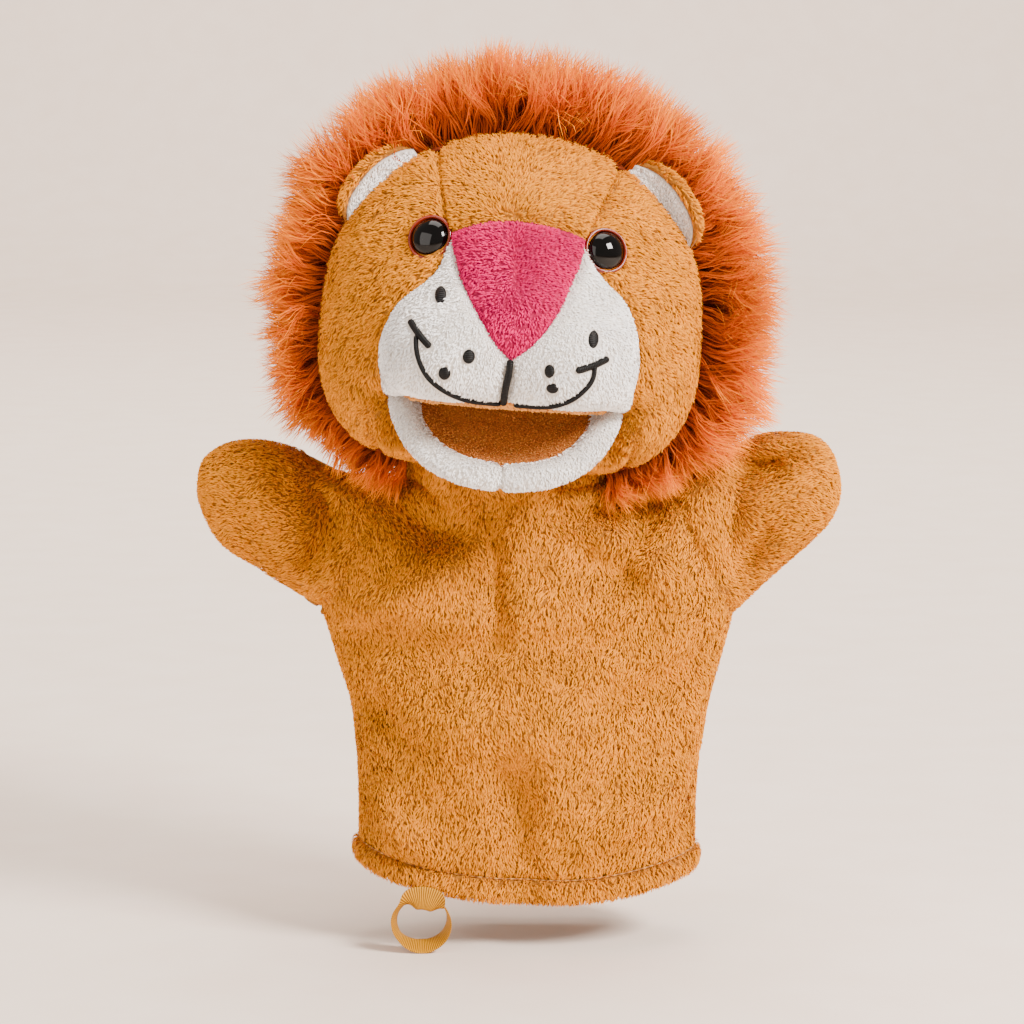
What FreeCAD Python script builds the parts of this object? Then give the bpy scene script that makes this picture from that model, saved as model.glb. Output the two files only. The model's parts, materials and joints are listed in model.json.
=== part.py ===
"""Lion hand puppet: a plush glove body with two finger arms, a stuffed head with an opening mouth,
safety eyes, folded ears and a long-pile mane, and a ribbon loop to hang it by.

Millimetres.  +Z is up, the puppet faces -Y and +X is to the right of someone facing it.  The origin is
the centre of the hand opening, on the plane of the hem at the side seams.
"""
import FreeCAD, Part
import math
import os
from FreeCAD import Matrix, Placement, Rotation, Vector

os.makedirs("parts", exist_ok=True)

# ---------------------------------------------------------------- driving dimensions
WALL = 2.4                # plush cloth with its backing and pressed pile
SLIP = 0.4                # gap between bodies that move on each other
FIT = 0.1                 # gap between a filling or fitting and the cloth around it
FAR = 200.0               # longer than any piece, for cutting tools

# glove body: height, centre x and y, half width, half depth of each level section
TORSO_LEVELS = [
    (0.0, 0.0, 0.0, 52.0, 28.0),
    (10.0, 0.0, 0.0, 52.0, 28.0),
    (34.0, 0.0, 0.0, 52.5, 29.0),
    (54.0, 0.0, 0.0, 55.0, 30.0),
    (72.0, 0.0, 0.0, 60.0, 30.0),
    (85.0, 0.0, 0.0, 64.0, 29.0),
    (98.0, 0.0, 0.0, 65.0, 27.0),
    (108.0, -1.0, 0.5, 60.0, 25.0),
    (114.0, -3.0, 2.0, 45.0, 23.5),
    (117.0, -5.0, 3.0, 24.0, 22.6),
]
RAGLAN_TOP = (41.0, 119.0)      # x, z where the arm seam meets the neckline
RAGLAN_FOOT = (62.0, 81.0)      # x, z of the underarm
HEM_HEIGHT = 6.0
HEM_ROLL = 1.4                  # the turned hem stands this far out of the body
STITCH_HEIGHT = 7.4
STITCH = 0.7

# arms: distance along x, centre height, half height, half depth; reach and lift differ by side
ARM_LEVELS = [
    (36.0, 99.0, 18.0, 16.0),
    (50.0, 101.0, 22.0, 17.0),
    (62.0, 104.5, 23.0, 16.5),
    (74.0, 109.0, 21.0, 16.0),
    (86.0, 112.5, 17.5, 14.5),
    (94.0, 113.5, 12.5, 10.5),
    (98.5, 114.0, 4.0, 3.5),
]
ARM_SIDES = {"left": (-1, 1.0, 0.0), "right": (1, 0.955, 2.5)}   # side of x, reach ratio, lift at the tip
ARM_HINGE_X = 58.0
ARM_HINGE_Z = 104.0
FOLD_R = 18.0                   # the cloth within this distance of the hinge folds, past it the arm is stiff

# neck
NECK_X, NECK_Y = -5.0, 3.0
NECK_R = 20.0
NECK_FOOT, NECK_TOP = 111.0, 126.0
NECK_HOLE_R = 25.0
NECK_HOLE_TOP = 145.0

# head, in its own frame: centre, tilt about the fore-and-aft axis, semi-axes
HEAD_AT = Vector(-4.5, -6.0, 174.5)
HEAD_TILT = 4.3
HEAD = Placement(HEAD_AT, Rotation(Vector(0, 1, 0), HEAD_TILT))
CRANIUM = (56.0, 46.0, 50.0)
MUZZLE_AT = (0.0, -28.0, -12.0)
MUZZLE = (38.0, 36.0, 34.0)
MANE_AT = (3.5, 12.0, 1.5)
MANE = (76.0, 50.0, 71.0)
MANE_FRONT = -7.0               # the mane starts behind this y
MANE_FLOOR = -32.0              # and above this z, clear of the shoulders when the head turns and nods
MANE_SPLIT = 30.0

# mouth and jaw, in the head's frame
MOUTH_Z = -26.0                 # the upper lip's underside
HINGE_Y = -26.0
JAW_SLOPE = 40.0                # the open jaw points this far below level
JAW_WIDER = 15.0                # and can be pushed this much further down
JAW_HALF_WIDTH, JAW_LENGTH = 34.0, 33.0
LIP_WIDTH = 7.0
LIP_THICK = 5.8
JAW_BACK = 3.0                  # the jaw starts this far in front of its hinge line
MOUTH_CLOTH = 1.2
FLOOR_SINK = 1.2                # the mouth's floor lies this far below the lip
PALATE_BACK = -12.0

# finger pocket in the head, upright and over the neck
POCKET_R = 12.5
POCKET_WALL = 1.2
POCKET_FOOT, POCKET_TOP = 138.0, 192.0

# safety eyes
EYE_X, EYE_Z = 25.0, 18.5
EYE_R = 6.6
EYE_DOME = 5.2
RIM_R, RIM_THICK = 7.8, 1.2
SHANK_R, SHANK_LENGTH = 1.9, 12.0
WASHER_R, WASHER_THICK = 7.0, 1.4

# ears: where each base meets the head, its radius and cloth
EAR_X, EAR_Z = 39.5, 30.0
EAR_R = 14.5
EAR_CLOTH = 2.6

# hang loop: a folded ribbon
LOOP_X, LOOP_Y = -31.0, -21.0
RIBBON_WIDTH, RIBBON_THICK = 7.0, 0.9
LOOP_R = 8.0
LOOP_DROP = 11.4                # from the hem to the loop's centre
TAB_HEIGHT = 9.0


# ---------------------------------------------------------------- helpers
def save(name, shape):
    """Write one node, after the check that it is whole."""
    solids = shape.Solids
    if not solids or not shape.isValid():
        raise RuntimeError(name + " is not a valid solid")
    piece = solids[0] if len(solids) == 1 else Part.makeCompound(solids)
    piece.exportStep("parts/" + name + ".step")
    box = piece.BoundBox
    size = (box.XLength, box.YLength, box.ZLength)
    print("%-22s %d solid(s) %8.1f mm3  %5.1f x %5.1f x %5.1f" % ((name, len(solids), piece.Volume) + size))


def in_head(shape):
    """Move a shape from the head's frame to the puppet's."""
    moved = shape.copy()
    moved.Placement = HEAD.multiply(moved.Placement)
    return moved


def placed(shape, frame):
    """A shape moved to a frame."""
    moved = shape.copy()
    moved.Placement = frame.multiply(moved.Placement)
    return moved


def ellipsoid(centre, semi, grow=0.0):
    """A solid ellipsoid, its semi-axes lengthened by grow."""
    stretch = Matrix()
    stretch.scale(semi[0] + grow, semi[1] + grow, semi[2] + grow)
    ball = Part.makeSphere(1.0).transformGeometry(stretch)
    ball.translate(Vector(*centre))
    return ball


def box(low, high):
    """A solid box between two corners."""
    return Part.makeBox(high[0] - low[0], high[1] - low[1], high[2] - low[2], Vector(*low))


def ellipse_wire(centre, u, v, half_u, half_v):
    """A closed ellipse about centre, with half axes along the unit vectors u and v."""
    if half_u >= half_v:
        ends = (centre + u * half_u, centre + v * half_v)
    else:
        ends = (centre + v * half_v, centre - u * half_u)
    return Part.Wire(Part.Ellipse(ends[0], ends[1], centre).toShape())


def prism(outline, low_y, high_y):
    """A closed outline of (x, z) points, taken straight through from low_y to high_y."""
    corners = [Vector(x, low_y, z) for x, z in outline]
    face = Part.Face(Part.makePolygon(corners + [corners[0]]))
    return face.extrude(Vector(0, high_y - low_y, 0))


def stroke(points, width):
    """The outline of a stitched line through points, as (x, z) corners."""
    left, right = [], []
    for i, (x, z) in enumerate(points):
        before, after = points[max(i - 1, 0)], points[min(i + 1, len(points) - 1)]
        dx, dz = after[0] - before[0], after[1] - before[1]
        half = width / 2 / math.hypot(dx, dz)
        left.append((x - dz * half, z + dx * half))
        right.append((x + dz * half, z - dx * half))
    return left + right[::-1]


def mirrored(points, side):
    """Points of the right side, or their mirror image where side is -1."""
    return [(side * x, z) for x, z in points]


def smoothed(levels, steps=3):
    """Levels with eased ones between them, so that flat spans read as one curved form."""
    full = []
    for i in range(len(levels) - 1):
        before, start = levels[max(i - 1, 0)], levels[i]
        end, after = levels[i + 1], levels[min(i + 2, len(levels) - 1)]
        for k in range(steps):
            t = k / steps
            row = []
            for a, b, c, d in zip(before, start, end, after):
                bend = (2 * a - 5 * b + 4 * c - d) * t ** 2 + (3 * b - a - 3 * c + d) * t ** 3
                row.append(b + 0.5 * ((c - a) * t + bend))
            full.append(tuple(row))
    return full + [levels[-1]]


def halves(shape, y=0.0):
    """The part of a shape in front of a plane of constant y, and the part behind it."""
    front = shape.common(box((-FAR, -FAR, -FAR), (FAR, y, FAR)))
    back = shape.common(box((-FAR, y, -FAR), (FAR, FAR, FAR)))
    return front, back


# ---------------------------------------------------------------- glove body
def torso_blank(inset=0.0, spare=0.0):
    """The body's outer form, or its inside when inset; spare lengthens it at both ends."""
    wires = []
    levels = smoothed(TORSO_LEVELS)
    for i, (z, x, y, half_x, half_y) in enumerate(levels):
        if i == 0:
            z -= spare
        if i == len(levels) - 1:
            z += spare
        centre = Vector(x, y, z)
        wires.append(ellipse_wire(centre, Vector(1, 0, 0), Vector(0, 1, 0), half_x - inset, half_y - inset))
    return Part.makeLoft(wires, True, True)


def beyond_raglan(side):
    """A cutting tool that covers everything outside one arm seam."""
    slope = (RAGLAN_TOP[0] - RAGLAN_FOOT[0]) / (RAGLAN_TOP[1] - RAGLAN_FOOT[1])
    foot_x = RAGLAN_FOOT[0] - slope * RAGLAN_FOOT[1]
    outline = [(foot_x, 0.0), (foot_x + slope * FAR, FAR), (FAR, FAR), (FAR, 0.0)]
    return prism(mirrored(outline, side), -FAR, FAR)


def underarm(side):
    """A cutting tool that covers what is above the underarm and outside the arm seam."""
    return beyond_raglan(side).common(box((-FAR, -FAR, RAGLAN_FOOT[1]), (FAR, FAR, FAR)))


def make_torso():
    """Front and back panels, open at the hem, the neck and both arms."""
    shell = torso_blank().cut(torso_blank(WALL, 1.0))
    for side in (-1, 1):
        shell = shell.cut(underarm(side))
    neckline = Part.makeCylinder(NECK_R + SLIP, FAR, Vector(NECK_X, NECK_Y, TORSO_LEVELS[-3][0]))
    shell = shell.cut(neckline)
    front, back = halves(shell)
    save("torso_front", front)
    save("torso_back", back)


def ring(half_x, half_y, thick, low_z, high_z):
    """A level band around the body, its inner face on the given half axes."""
    faces = []
    for grow in (thick, 0.0):
        wire = ellipse_wire(Vector(0, 0, low_z), Vector(1, 0, 0), Vector(0, 1, 0), half_x + grow, half_y + grow)
        faces.append(Part.Face(wire).extrude(Vector(0, 0, high_z - low_z)))
    return faces[0].cut(faces[1])


def make_hem():
    """The turned hem, proud of both panels, the seam line sewn above it and the ribbon's sewn-in ends."""
    half_x, half_y = TORSO_LEVELS[0][3:]
    save("hem_band", ring(half_x, half_y, HEM_ROLL, 0.0, HEM_HEIGHT))
    save("hem_stitch", ring(half_x, half_y, STITCH, STITCH_HEIGHT, STITCH_HEIGHT + STITCH))
    lining = torso_blank(WALL + FIT).cut(torso_blank(WALL + FIT + 2 * RIBBON_THICK, 1.0))
    half_tab = RIBBON_WIDTH / 2
    save("loop_tab", lining.common(box((LOOP_X - half_tab, -FAR, SLIP), (LOOP_X + half_tab, 0, TAB_HEIGHT))))


# ---------------------------------------------------------------- arms
def arm_blank(side, inset=0.0):
    """One arm's outer form, or its inside when inset, running on into the body."""
    sign, reach, lift = ARM_SIDES[side]
    root = ARM_LEVELS[0][0]
    tip = ARM_LEVELS[-1][0]
    wires = []
    for x, z, half_z, half_y in smoothed(ARM_LEVELS):
        share = (x - root) / (tip - root)
        end_inset = inset if x == tip else 0.0
        at = root + (x - root) * (1 + share * (reach - 1)) - end_inset
        centre = Vector(sign * at, 0, z + lift * share)
        trim = inset if x < tip else inset * 0.6
        wires.append(ellipse_wire(centre, Vector(0, 1, 0), Vector(0, 0, 1), half_y - trim, half_z - trim))
    return Part.makeLoft(wires, True, True)


def make_arm(side):
    """Front and back panels of the swinging arm, and the root cloth that folds with it."""
    sign = ARM_SIDES[side][0]
    shell = arm_blank(side).cut(arm_blank(side, WALL)).common(beyond_raglan(sign))
    hinge = Vector(sign * ARM_HINGE_X, 0, 0)
    hub = Part.makeCylinder(FOLD_R, FAR, hinge)
    swept = Part.makeCylinder(FOLD_R + SLIP, FAR, hinge)
    edges = sorted((0.0, sign * ARM_HINGE_X))
    inner = box((edges[0], -FAR, 0), (edges[1], FAR, FAR))
    save("shoulder_fold_" + side, shell.common(hub.fuse(inner)))
    front, back = halves(shell.cut(swept).cut(inner))
    save("arm_front_" + side, front)
    save("arm_back_" + side, back)


# ---------------------------------------------------------------- hang loop
def make_hang_loop():
    """The ribbon loop, hanging from the hem on the front left."""
    centre = Vector(LOOP_X, LOOP_Y - RIBBON_WIDTH / 2, -LOOP_DROP)
    along = Vector(0, 1, 0)
    outer = Part.makeCylinder(LOOP_R, RIBBON_WIDTH, centre, along)
    inner = Part.makeCylinder(LOOP_R - RIBBON_THICK, RIBBON_WIDTH, centre, along)
    low = (LOOP_X - RIBBON_WIDTH / 2, LOOP_Y - RIBBON_THICK, -LOOP_DROP)
    neck = box(low, (LOOP_X + RIBBON_WIDTH / 2, LOOP_Y + RIBBON_THICK, -SLIP))
    save("hang_loop", outer.cut(inner).fuse(neck.cut(inner)))


# ---------------------------------------------------------------- neck
def make_neck():
    """The cloth sleeve between the body and the head."""
    at = Vector(NECK_X, NECK_Y, NECK_FOOT)
    outer = Part.makeCylinder(NECK_R, NECK_TOP - NECK_FOOT, at)
    inner = Part.makeCylinder(NECK_R - WALL / 2, NECK_TOP - NECK_FOOT, at)
    save("neck_sleeve", outer.cut(inner))


# ---------------------------------------------------------------- head
def neck_hole():
    """The hole in the head's underside, in the head's frame."""
    hole = Part.makeCylinder(NECK_HOLE_R, NECK_HOLE_TOP - NECK_FOOT, Vector(NECK_X, NECK_Y, NECK_FOOT))
    hole.Placement = HEAD.inverse().multiply(hole.Placement)
    return hole


def mouth_room(spare=0.0, level=MOUTH_Z):
    """The wedge cut out of the head for the mouth and the jaw's travel, deeper behind by spare."""
    wide = JAW_HALF_WIDTH + 1.5
    deep = LIP_THICK + 2 * SLIP + spare
    slope = Placement(Vector(0, HINGE_Y, MOUTH_Z), Rotation(Vector(1, 0, 0), JAW_SLOPE + JAW_WIDER))
    travel = placed(box((-wide, -FAR, -deep), (wide, FAR, FAR)), slope)
    return travel.common(box((-FAR, -FAR, -FAR), (FAR, FAR, level)))


def eye_frame(side):
    """Where one eye sits on the head, with its own z pointing out of the cloth."""
    x, z = side * EYE_X, EYE_Z
    share = 1 - (x / CRANIUM[0]) ** 2 - (z / CRANIUM[2]) ** 2
    y = -CRANIUM[1] * math.sqrt(share)
    out = Vector(x / CRANIUM[0] ** 2, y / CRANIUM[1] ** 2, z / CRANIUM[2] ** 2)
    return Placement(Vector(x, y, z), Rotation(Vector(0, 0, 1), out))


def make_eye(name, side):
    """A safety eye: glossy dome with its shank, the rim around it and the lock washer inside."""
    frame = eye_frame(side)
    seat = FIT + RIM_THICK
    ball_r = (EYE_R ** 2 + EYE_DOME ** 2) / (2 * EYE_DOME)
    ball = Part.makeSphere(ball_r, Vector(0, 0, seat + EYE_DOME - ball_r))
    dome = ball.common(Part.makeCylinder(EYE_R + FIT, EYE_DOME + FIT, Vector(0, 0, seat)))
    shank = Part.makeCylinder(SHANK_R, SHANK_LENGTH + seat, Vector(0, 0, -SHANK_LENGTH))
    rim = Part.makeCylinder(RIM_R, RIM_THICK, Vector(0, 0, FIT))
    rim = rim.cut(Part.makeCylinder(SHANK_R, RIM_THICK, Vector(0, 0, FIT)))
    washer_at = Vector(0, 0, -WALL - WASHER_THICK - 1.0)
    washer = Part.makeCylinder(WASHER_R, WASHER_THICK, washer_at)
    washer = washer.cut(Part.makeCylinder(SHANK_R, WASHER_THICK, washer_at))
    save("eye_dome_" + name, in_head(placed(dome.fuse(shank), frame)))
    save("eye_rim_" + name, in_head(placed(rim, frame)))
    save("eye_washer_" + name, in_head(placed(washer, frame)))


def eye_clearance(side):
    """The room that an eye's shank and washer take inside the head."""
    shank = Part.makeCylinder(SHANK_R + FIT, SHANK_LENGTH + 2 * WALL, Vector(0, 0, -SHANK_LENGTH - FIT))
    washer = Part.makeCylinder(WASHER_R + FIT, WASHER_THICK + 2.0, Vector(0, 0, -WALL - WASHER_THICK - 1.5))
    return placed(shank.fuse(washer), eye_frame(side))


def gusset_outline():
    """The forehead panel between its two seams, narrowing towards the nose."""
    return [(-17.5, 14.0), (-24.0, 60.0), (24.0, 60.0), (17.5, 14.0)]


def nose_outline():
    """The nose: a wide arched top that comes down to a point over the mouth."""
    return [(-20.0, 22.0), (-10.5, 25.6), (0.0, 26.8), (10.5, 25.6), (20.0, 22.0), (13.0, 6.0), (5.0, -7.5),
            (0.0, -11.5), (-5.0, -7.5), (-13.0, 6.0)]


def make_skull_panels():
    """The stuffed head's own cloth: forehead gusset, two face sides and the back under the mane."""
    shell = ellipsoid((0, 0, 0), CRANIUM).cut(ellipsoid((0, 0, 0), CRANIUM, -WALL))
    shell = shell.cut(ellipsoid(MUZZLE_AT, MUZZLE)).cut(mouth_room()).cut(neck_hole())
    for side in (-1, 1):
        shell = shell.cut(eye_clearance(side))
    front, back = halves(shell, MANE_FRONT)
    gusset = prism(gusset_outline(), -FAR, 0)
    save("forehead_gusset", in_head(front.common(gusset)))
    sides = front.cut(gusset)
    save("face_side_left", in_head(sides.common(box((-FAR, -FAR, -FAR), (0, FAR, FAR)))))
    save("face_side_right", in_head(sides.common(box((0, -FAR, -FAR), (FAR, FAR, FAR)))))
    save("head_back", in_head(back))


def make_muzzle():
    """The nose and the two white muzzle panels, with their stuffing."""
    outer, inner = ellipsoid(MUZZLE_AT, MUZZLE), ellipsoid(MUZZLE_AT, MUZZLE, -WALL)
    skull = ellipsoid((0, 0, 0), CRANIUM)
    above = box((-FAR, -FAR, MOUTH_Z), (FAR, 0, FAR))
    shell = outer.cut(inner).cut(skull).common(above)
    nose = prism(nose_outline(), -FAR, MUZZLE_AT[1])
    save("nose_panel", in_head(shell.common(nose)))
    cheeks = shell.cut(nose)
    save("muzzle_left", in_head(cheeks.common(box((-FAR, -FAR, -FAR), (0, FAR, FAR)))))
    save("muzzle_right", in_head(cheeks.common(box((0, -FAR, -FAR), (FAR, FAR, FAR)))))
    filling = ellipsoid(MUZZLE_AT, MUZZLE, -WALL - FIT).cut(skull)
    save("muzzle_stuffing", in_head(filling.common(box((-FAR, -FAR, MOUTH_Z + WALL), (FAR, 0, FAR)))))


# stitched features on the right side of the muzzle, as (x, z) points from the mouth outwards
SMILE_LINE = [(1.5, -23.2), (9.0, -22.6), (15.5, -20.0), (20.0, -15.6), (22.6, -9.6), (23.2, -3.0)]
SMILE_BAR = [(17.5, -5.6), (22.6, -3.4), (27.8, -1.6)]
PHILTRUM = [(0.0, -12.4), (0.2, -18.0), (0.0, -24.0)]
WHISKER_DOTS = [(17.5, 8.0, 2.7, 4.0), (9.6, -6.4, 2.9, 3.5), (12.8, -13.4, 3.2, 3.0)]   # x, z, width, height
THREAD = 1.8
THREAD_RISE = 0.6


def stitched(outlines):
    """Raised satin stitch on the muzzle inside the given outlines."""
    skin = ellipsoid(MUZZLE_AT, MUZZLE, THREAD_RISE).cut(ellipsoid(MUZZLE_AT, MUZZLE, 0.02))
    tool = prism(outlines[0], -FAR, MUZZLE_AT[1] - 4.0)
    for outline in outlines[1:]:
        tool = tool.fuse(prism(outline, -FAR, MUZZLE_AT[1] - 4.0))
    return in_head(skin.common(tool))


def dot_outline(x, z, width, height):
    """An eight-sided stitched dot."""
    turns = [math.radians(45 * i) for i in range(8)]
    return [(x + width / 2 * math.cos(a), z + height / 2 * math.sin(a)) for a in turns]


def make_stitching():
    """The smile, the line under the nose and the whisker dots."""
    save("philtrum", stitched([stroke(PHILTRUM, THREAD * 1.3)]))
    for name, side in (("left", -1), ("right", 1)):
        lines = [stroke(mirrored(SMILE_LINE, side), THREAD), stroke(mirrored(SMILE_BAR, side), THREAD * 1.3)]
        save("smile_" + name, stitched(lines))
        dots = [dot_outline(side * x, z, width, height) for x, z, width, height in WHISKER_DOTS]
        save("whisker_dots_" + name, stitched(dots))


def make_mouth():
    """The palate under the muzzle and the throat cloth behind the jaw."""
    muzzle = ellipsoid(MUZZLE_AT, MUZZLE, -WALL - FIT)
    skull = ellipsoid((0, 0, 0), CRANIUM, -WALL - FIT)
    wide = JAW_HALF_WIDTH
    plate = box((-wide, -FAR, MOUTH_Z), (wide, PALATE_BACK, MOUTH_Z + MOUTH_CLOTH))
    save("mouth_palate", in_head(muzzle.fuse(skull).common(plate)))
    behind = mouth_room(MOUTH_CLOTH, MOUTH_Z - FIT).cut(mouth_room(0.0, MOUTH_Z))
    save("throat_panel", in_head(behind.common(skull).cut(neck_hole())))


def make_head_filling():
    """The stuffing and the finger pocket sewn up inside it."""
    at = Vector(NECK_X, NECK_Y, POCKET_FOOT)
    tall = POCKET_TOP - POCKET_FOOT
    skin = Part.makeCylinder(POCKET_R + POCKET_WALL, tall + POCKET_WALL, at)
    pocket = skin.cut(Part.makeCylinder(POCKET_R, tall, at))
    save("finger_pocket", pocket)
    room = Part.makeCylinder(POCKET_R + POCKET_WALL + FIT, tall + POCKET_WALL + FIT + 40.0, at - Vector(0, 0, 40.0))
    filling = ellipsoid((0, 0, 0), CRANIUM, -WALL - FIT).cut(neck_hole())
    filling = filling.cut(mouth_room(MOUTH_CLOTH + FIT, MOUTH_Z + MOUTH_CLOTH + FIT))
    wide = JAW_HALF_WIDTH + FIT
    over_palate = (wide, PALATE_BACK + FIT, MOUTH_Z + MOUTH_CLOTH + FIT)
    filling = filling.cut(box((-wide, -FAR, MOUTH_Z - FIT), over_palate))
    for side in (-1, 1):
        filling = filling.cut(eye_clearance(side))
    save("head_stuffing", in_head(filling).cut(room))


def ear_frame(side):
    """One ear's base on the head: its own x runs along the base and z points out of it."""
    x, z = side * EAR_X, EAR_Z
    share = 1 - (x / CRANIUM[0]) ** 2 - (z / CRANIUM[2]) ** 2
    y = -CRANIUM[1] * math.sqrt(share)
    base = Vector(side * 0.65, 0, -0.76)
    out = Vector(x / CRANIUM[0] ** 2, y / CRANIUM[1] ** 2, z / CRANIUM[2] ** 2).normalize()
    out = (out + Vector(0, -0.45, 0)).normalize()
    face = out.cross(base).normalize()
    out = base.cross(face).normalize()
    if face.y > 0:
        base, face = base * -1, face * -1
    return Placement(Vector(x, y, z), Rotation(base, face, out, "XYZ"))


def make_ear(name, side):
    """A half-round ear, tan behind and white in front, folded towards the face."""
    skull = ellipsoid((0, 0, 0), CRANIUM, FIT)
    frame = ear_frame(side)
    half = box((-FAR, -FAR, -6.0), (FAR, FAR, FAR))
    disc = Part.makeCylinder(EAR_R, EAR_CLOTH, Vector(0, 0, 0), Vector(0, 1, 0)).common(half)
    inner = Part.makeCylinder(EAR_R - 2.5, EAR_CLOTH, Vector(0, EAR_CLOTH, 0), Vector(0, 1, 0)).common(half)
    save("ear_outer_" + name, in_head(placed(disc, frame).cut(skull)))
    save("ear_inner_" + name, in_head(placed(inner, frame).cut(skull)))


def ear_room(side):
    """The room an ear takes out of the mane."""
    disc = Part.makeCylinder(EAR_R + 1.0, 2 * EAR_CLOTH + 2.0, Vector(0, -1.0, 0), Vector(0, 1, 0))
    return placed(disc, ear_frame(side))


def make_mane():
    """The long-pile hood around the face: crown, two sides and nape."""
    hood = ellipsoid(MANE_AT, MANE).cut(ellipsoid((0, 0, 0), CRANIUM, FIT))
    hood = hood.common(box((-FAR, MANE_FRONT, MANE_FLOOR), (FAR, FAR, FAR)))
    hood = hood.cut(neck_hole())
    for side in (-1, 1):
        hood = hood.cut(ear_room(side))
    middle = hood.common(box((-MANE_SPLIT, -FAR, -FAR), (MANE_SPLIT, FAR, FAR)))
    save("mane_crown", in_head(middle.common(box((-FAR, -FAR, 0), (FAR, FAR, FAR)))))
    save("mane_nape", in_head(middle.common(box((-FAR, -FAR, -FAR), (FAR, FAR, 0)))))
    save("mane_left", in_head(hood.common(box((-FAR, -FAR, -FAR), (-MANE_SPLIT, FAR, FAR)))))
    save("mane_right", in_head(hood.common(box((MANE_SPLIT, -FAR, -FAR), (FAR, FAR, FAR)))))


# ---------------------------------------------------------------- jaw
def jaw_slab(half_width, length, top, thick):
    """A slab with a half-oval front, in the jaw's own plane, below the hinge line by top."""
    wire = ellipse_wire(Vector(0, 0, -top - thick), Vector(1, 0, 0), Vector(0, 1, 0), half_width, length)
    oval = Part.Face(wire).extrude(Vector(0, 0, thick))
    return oval.common(box((-FAR, -FAR, -FAR), (FAR, -JAW_BACK, FAR)))


def in_jaw(shape):
    """Move a shape from the open jaw's own plane to the puppet's frame."""
    tip = Placement(Vector(0, HINGE_Y, MOUTH_Z), Rotation(Vector(1, 0, 0), JAW_SLOPE))
    return in_head(placed(shape, tip))


def make_jaw():
    """White lip in two panels that meet at the chin, the mouth's floor, its padding and the underside."""
    inner_wide, inner_long = JAW_HALF_WIDTH - LIP_WIDTH, JAW_LENGTH - LIP_WIDTH
    lip = jaw_slab(JAW_HALF_WIDTH, JAW_LENGTH, SLIP, LIP_THICK)
    lip = lip.cut(jaw_slab(inner_wide, inner_long, 0.0, LIP_THICK + 1.0))
    save("jaw_lip_left", in_jaw(lip.common(box((-FAR, -FAR, -FAR), (0, FAR, FAR)))))
    save("jaw_lip_right", in_jaw(lip.common(box((0, -FAR, -FAR), (FAR, FAR, FAR)))))
    pad_top = FLOOR_SINK + MOUTH_CLOTH
    under_top = SLIP + LIP_THICK - MOUTH_CLOTH
    layers = (
        ("mouth_floor", FLOOR_SINK, MOUTH_CLOTH),
        ("jaw_stuffing", pad_top, under_top - pad_top),
        ("jaw_underside", under_top, MOUTH_CLOTH),
    )
    for name, top, thick in layers:
        save(name, in_jaw(jaw_slab(inner_wide - FIT, inner_long - FIT, top, thick)))


make_torso()
make_hem()
make_arm("left")
make_arm("right")
make_hang_loop()
make_neck()
make_skull_panels()
make_muzzle()
make_stitching()
make_mouth()
make_head_filling()
for eye_name, eye_side in (("left", -1), ("right", 1)):
    make_eye(eye_name, eye_side)
    make_ear(eye_name, eye_side)
make_mane()
make_jaw()
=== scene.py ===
"""A plush lion hand puppet: a minky glove body with two arms, a stuffed head with an open mouth,
safety eyes, folded ears, a long-pile mane and a ribbon loop.

Lengths in the tables below are millimetres.  Meshes are made in metres, in the frame's own axes:
+Z up, the puppet faces -Y.
"""
import json
import math
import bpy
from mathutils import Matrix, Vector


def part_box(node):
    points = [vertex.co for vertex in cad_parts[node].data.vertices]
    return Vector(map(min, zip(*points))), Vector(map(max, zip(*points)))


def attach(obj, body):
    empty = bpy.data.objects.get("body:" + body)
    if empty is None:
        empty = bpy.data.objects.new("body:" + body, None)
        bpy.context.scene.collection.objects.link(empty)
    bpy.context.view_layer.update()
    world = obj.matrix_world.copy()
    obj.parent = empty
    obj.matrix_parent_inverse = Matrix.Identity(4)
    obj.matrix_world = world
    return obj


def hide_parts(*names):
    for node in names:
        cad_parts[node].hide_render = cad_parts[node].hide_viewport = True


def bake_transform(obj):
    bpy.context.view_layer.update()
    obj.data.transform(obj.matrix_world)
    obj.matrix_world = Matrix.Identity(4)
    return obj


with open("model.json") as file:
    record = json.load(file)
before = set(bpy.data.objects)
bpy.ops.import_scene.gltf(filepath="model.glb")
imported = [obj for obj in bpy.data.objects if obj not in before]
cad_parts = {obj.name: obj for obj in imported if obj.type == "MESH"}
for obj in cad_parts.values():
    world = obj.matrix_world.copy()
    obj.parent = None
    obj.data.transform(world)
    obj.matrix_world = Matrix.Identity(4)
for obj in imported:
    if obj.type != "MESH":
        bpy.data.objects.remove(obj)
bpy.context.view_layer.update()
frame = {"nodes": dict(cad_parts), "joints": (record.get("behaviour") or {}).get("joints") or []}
import zlib

import bpy
import numpy as np
from mathutils import Vector, geometry

bl_info = {
    "name": "Lion Hand Puppet",
    "version": (1, 0, 0),
    "blender": (4, 5, 0),
    "location": "View3D > Sidebar > Puppet",
    "description": "Makes a plush lion hand puppet piece by piece around its frame",
    "category": "Add Mesh",
}

MM = 0.001


# ---------------------------------------------------------------- where the frame puts things
def joint(name):
    """One joint of the frame."""
    return next(j for j in frame["joints"] if j["name"] == name)


JAW_JOINT = joint("jaw_open")
HEAD_TILT = math.atan2(-JAW_JOINT["axis"][2], JAW_JOINT["axis"][0])
HINGE = np.array([0.0, -26.0, -26.0])          # the jaw's hinge in the head's own frame
TURN = np.array([[math.cos(HEAD_TILT), 0, math.sin(HEAD_TILT)], [0, 1, 0],
                 [-math.sin(HEAD_TILT), 0, math.cos(HEAD_TILT)]])
HEAD_AT = np.array(JAW_JOINT["pos_m"]) / MM - TURN @ HINGE


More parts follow.
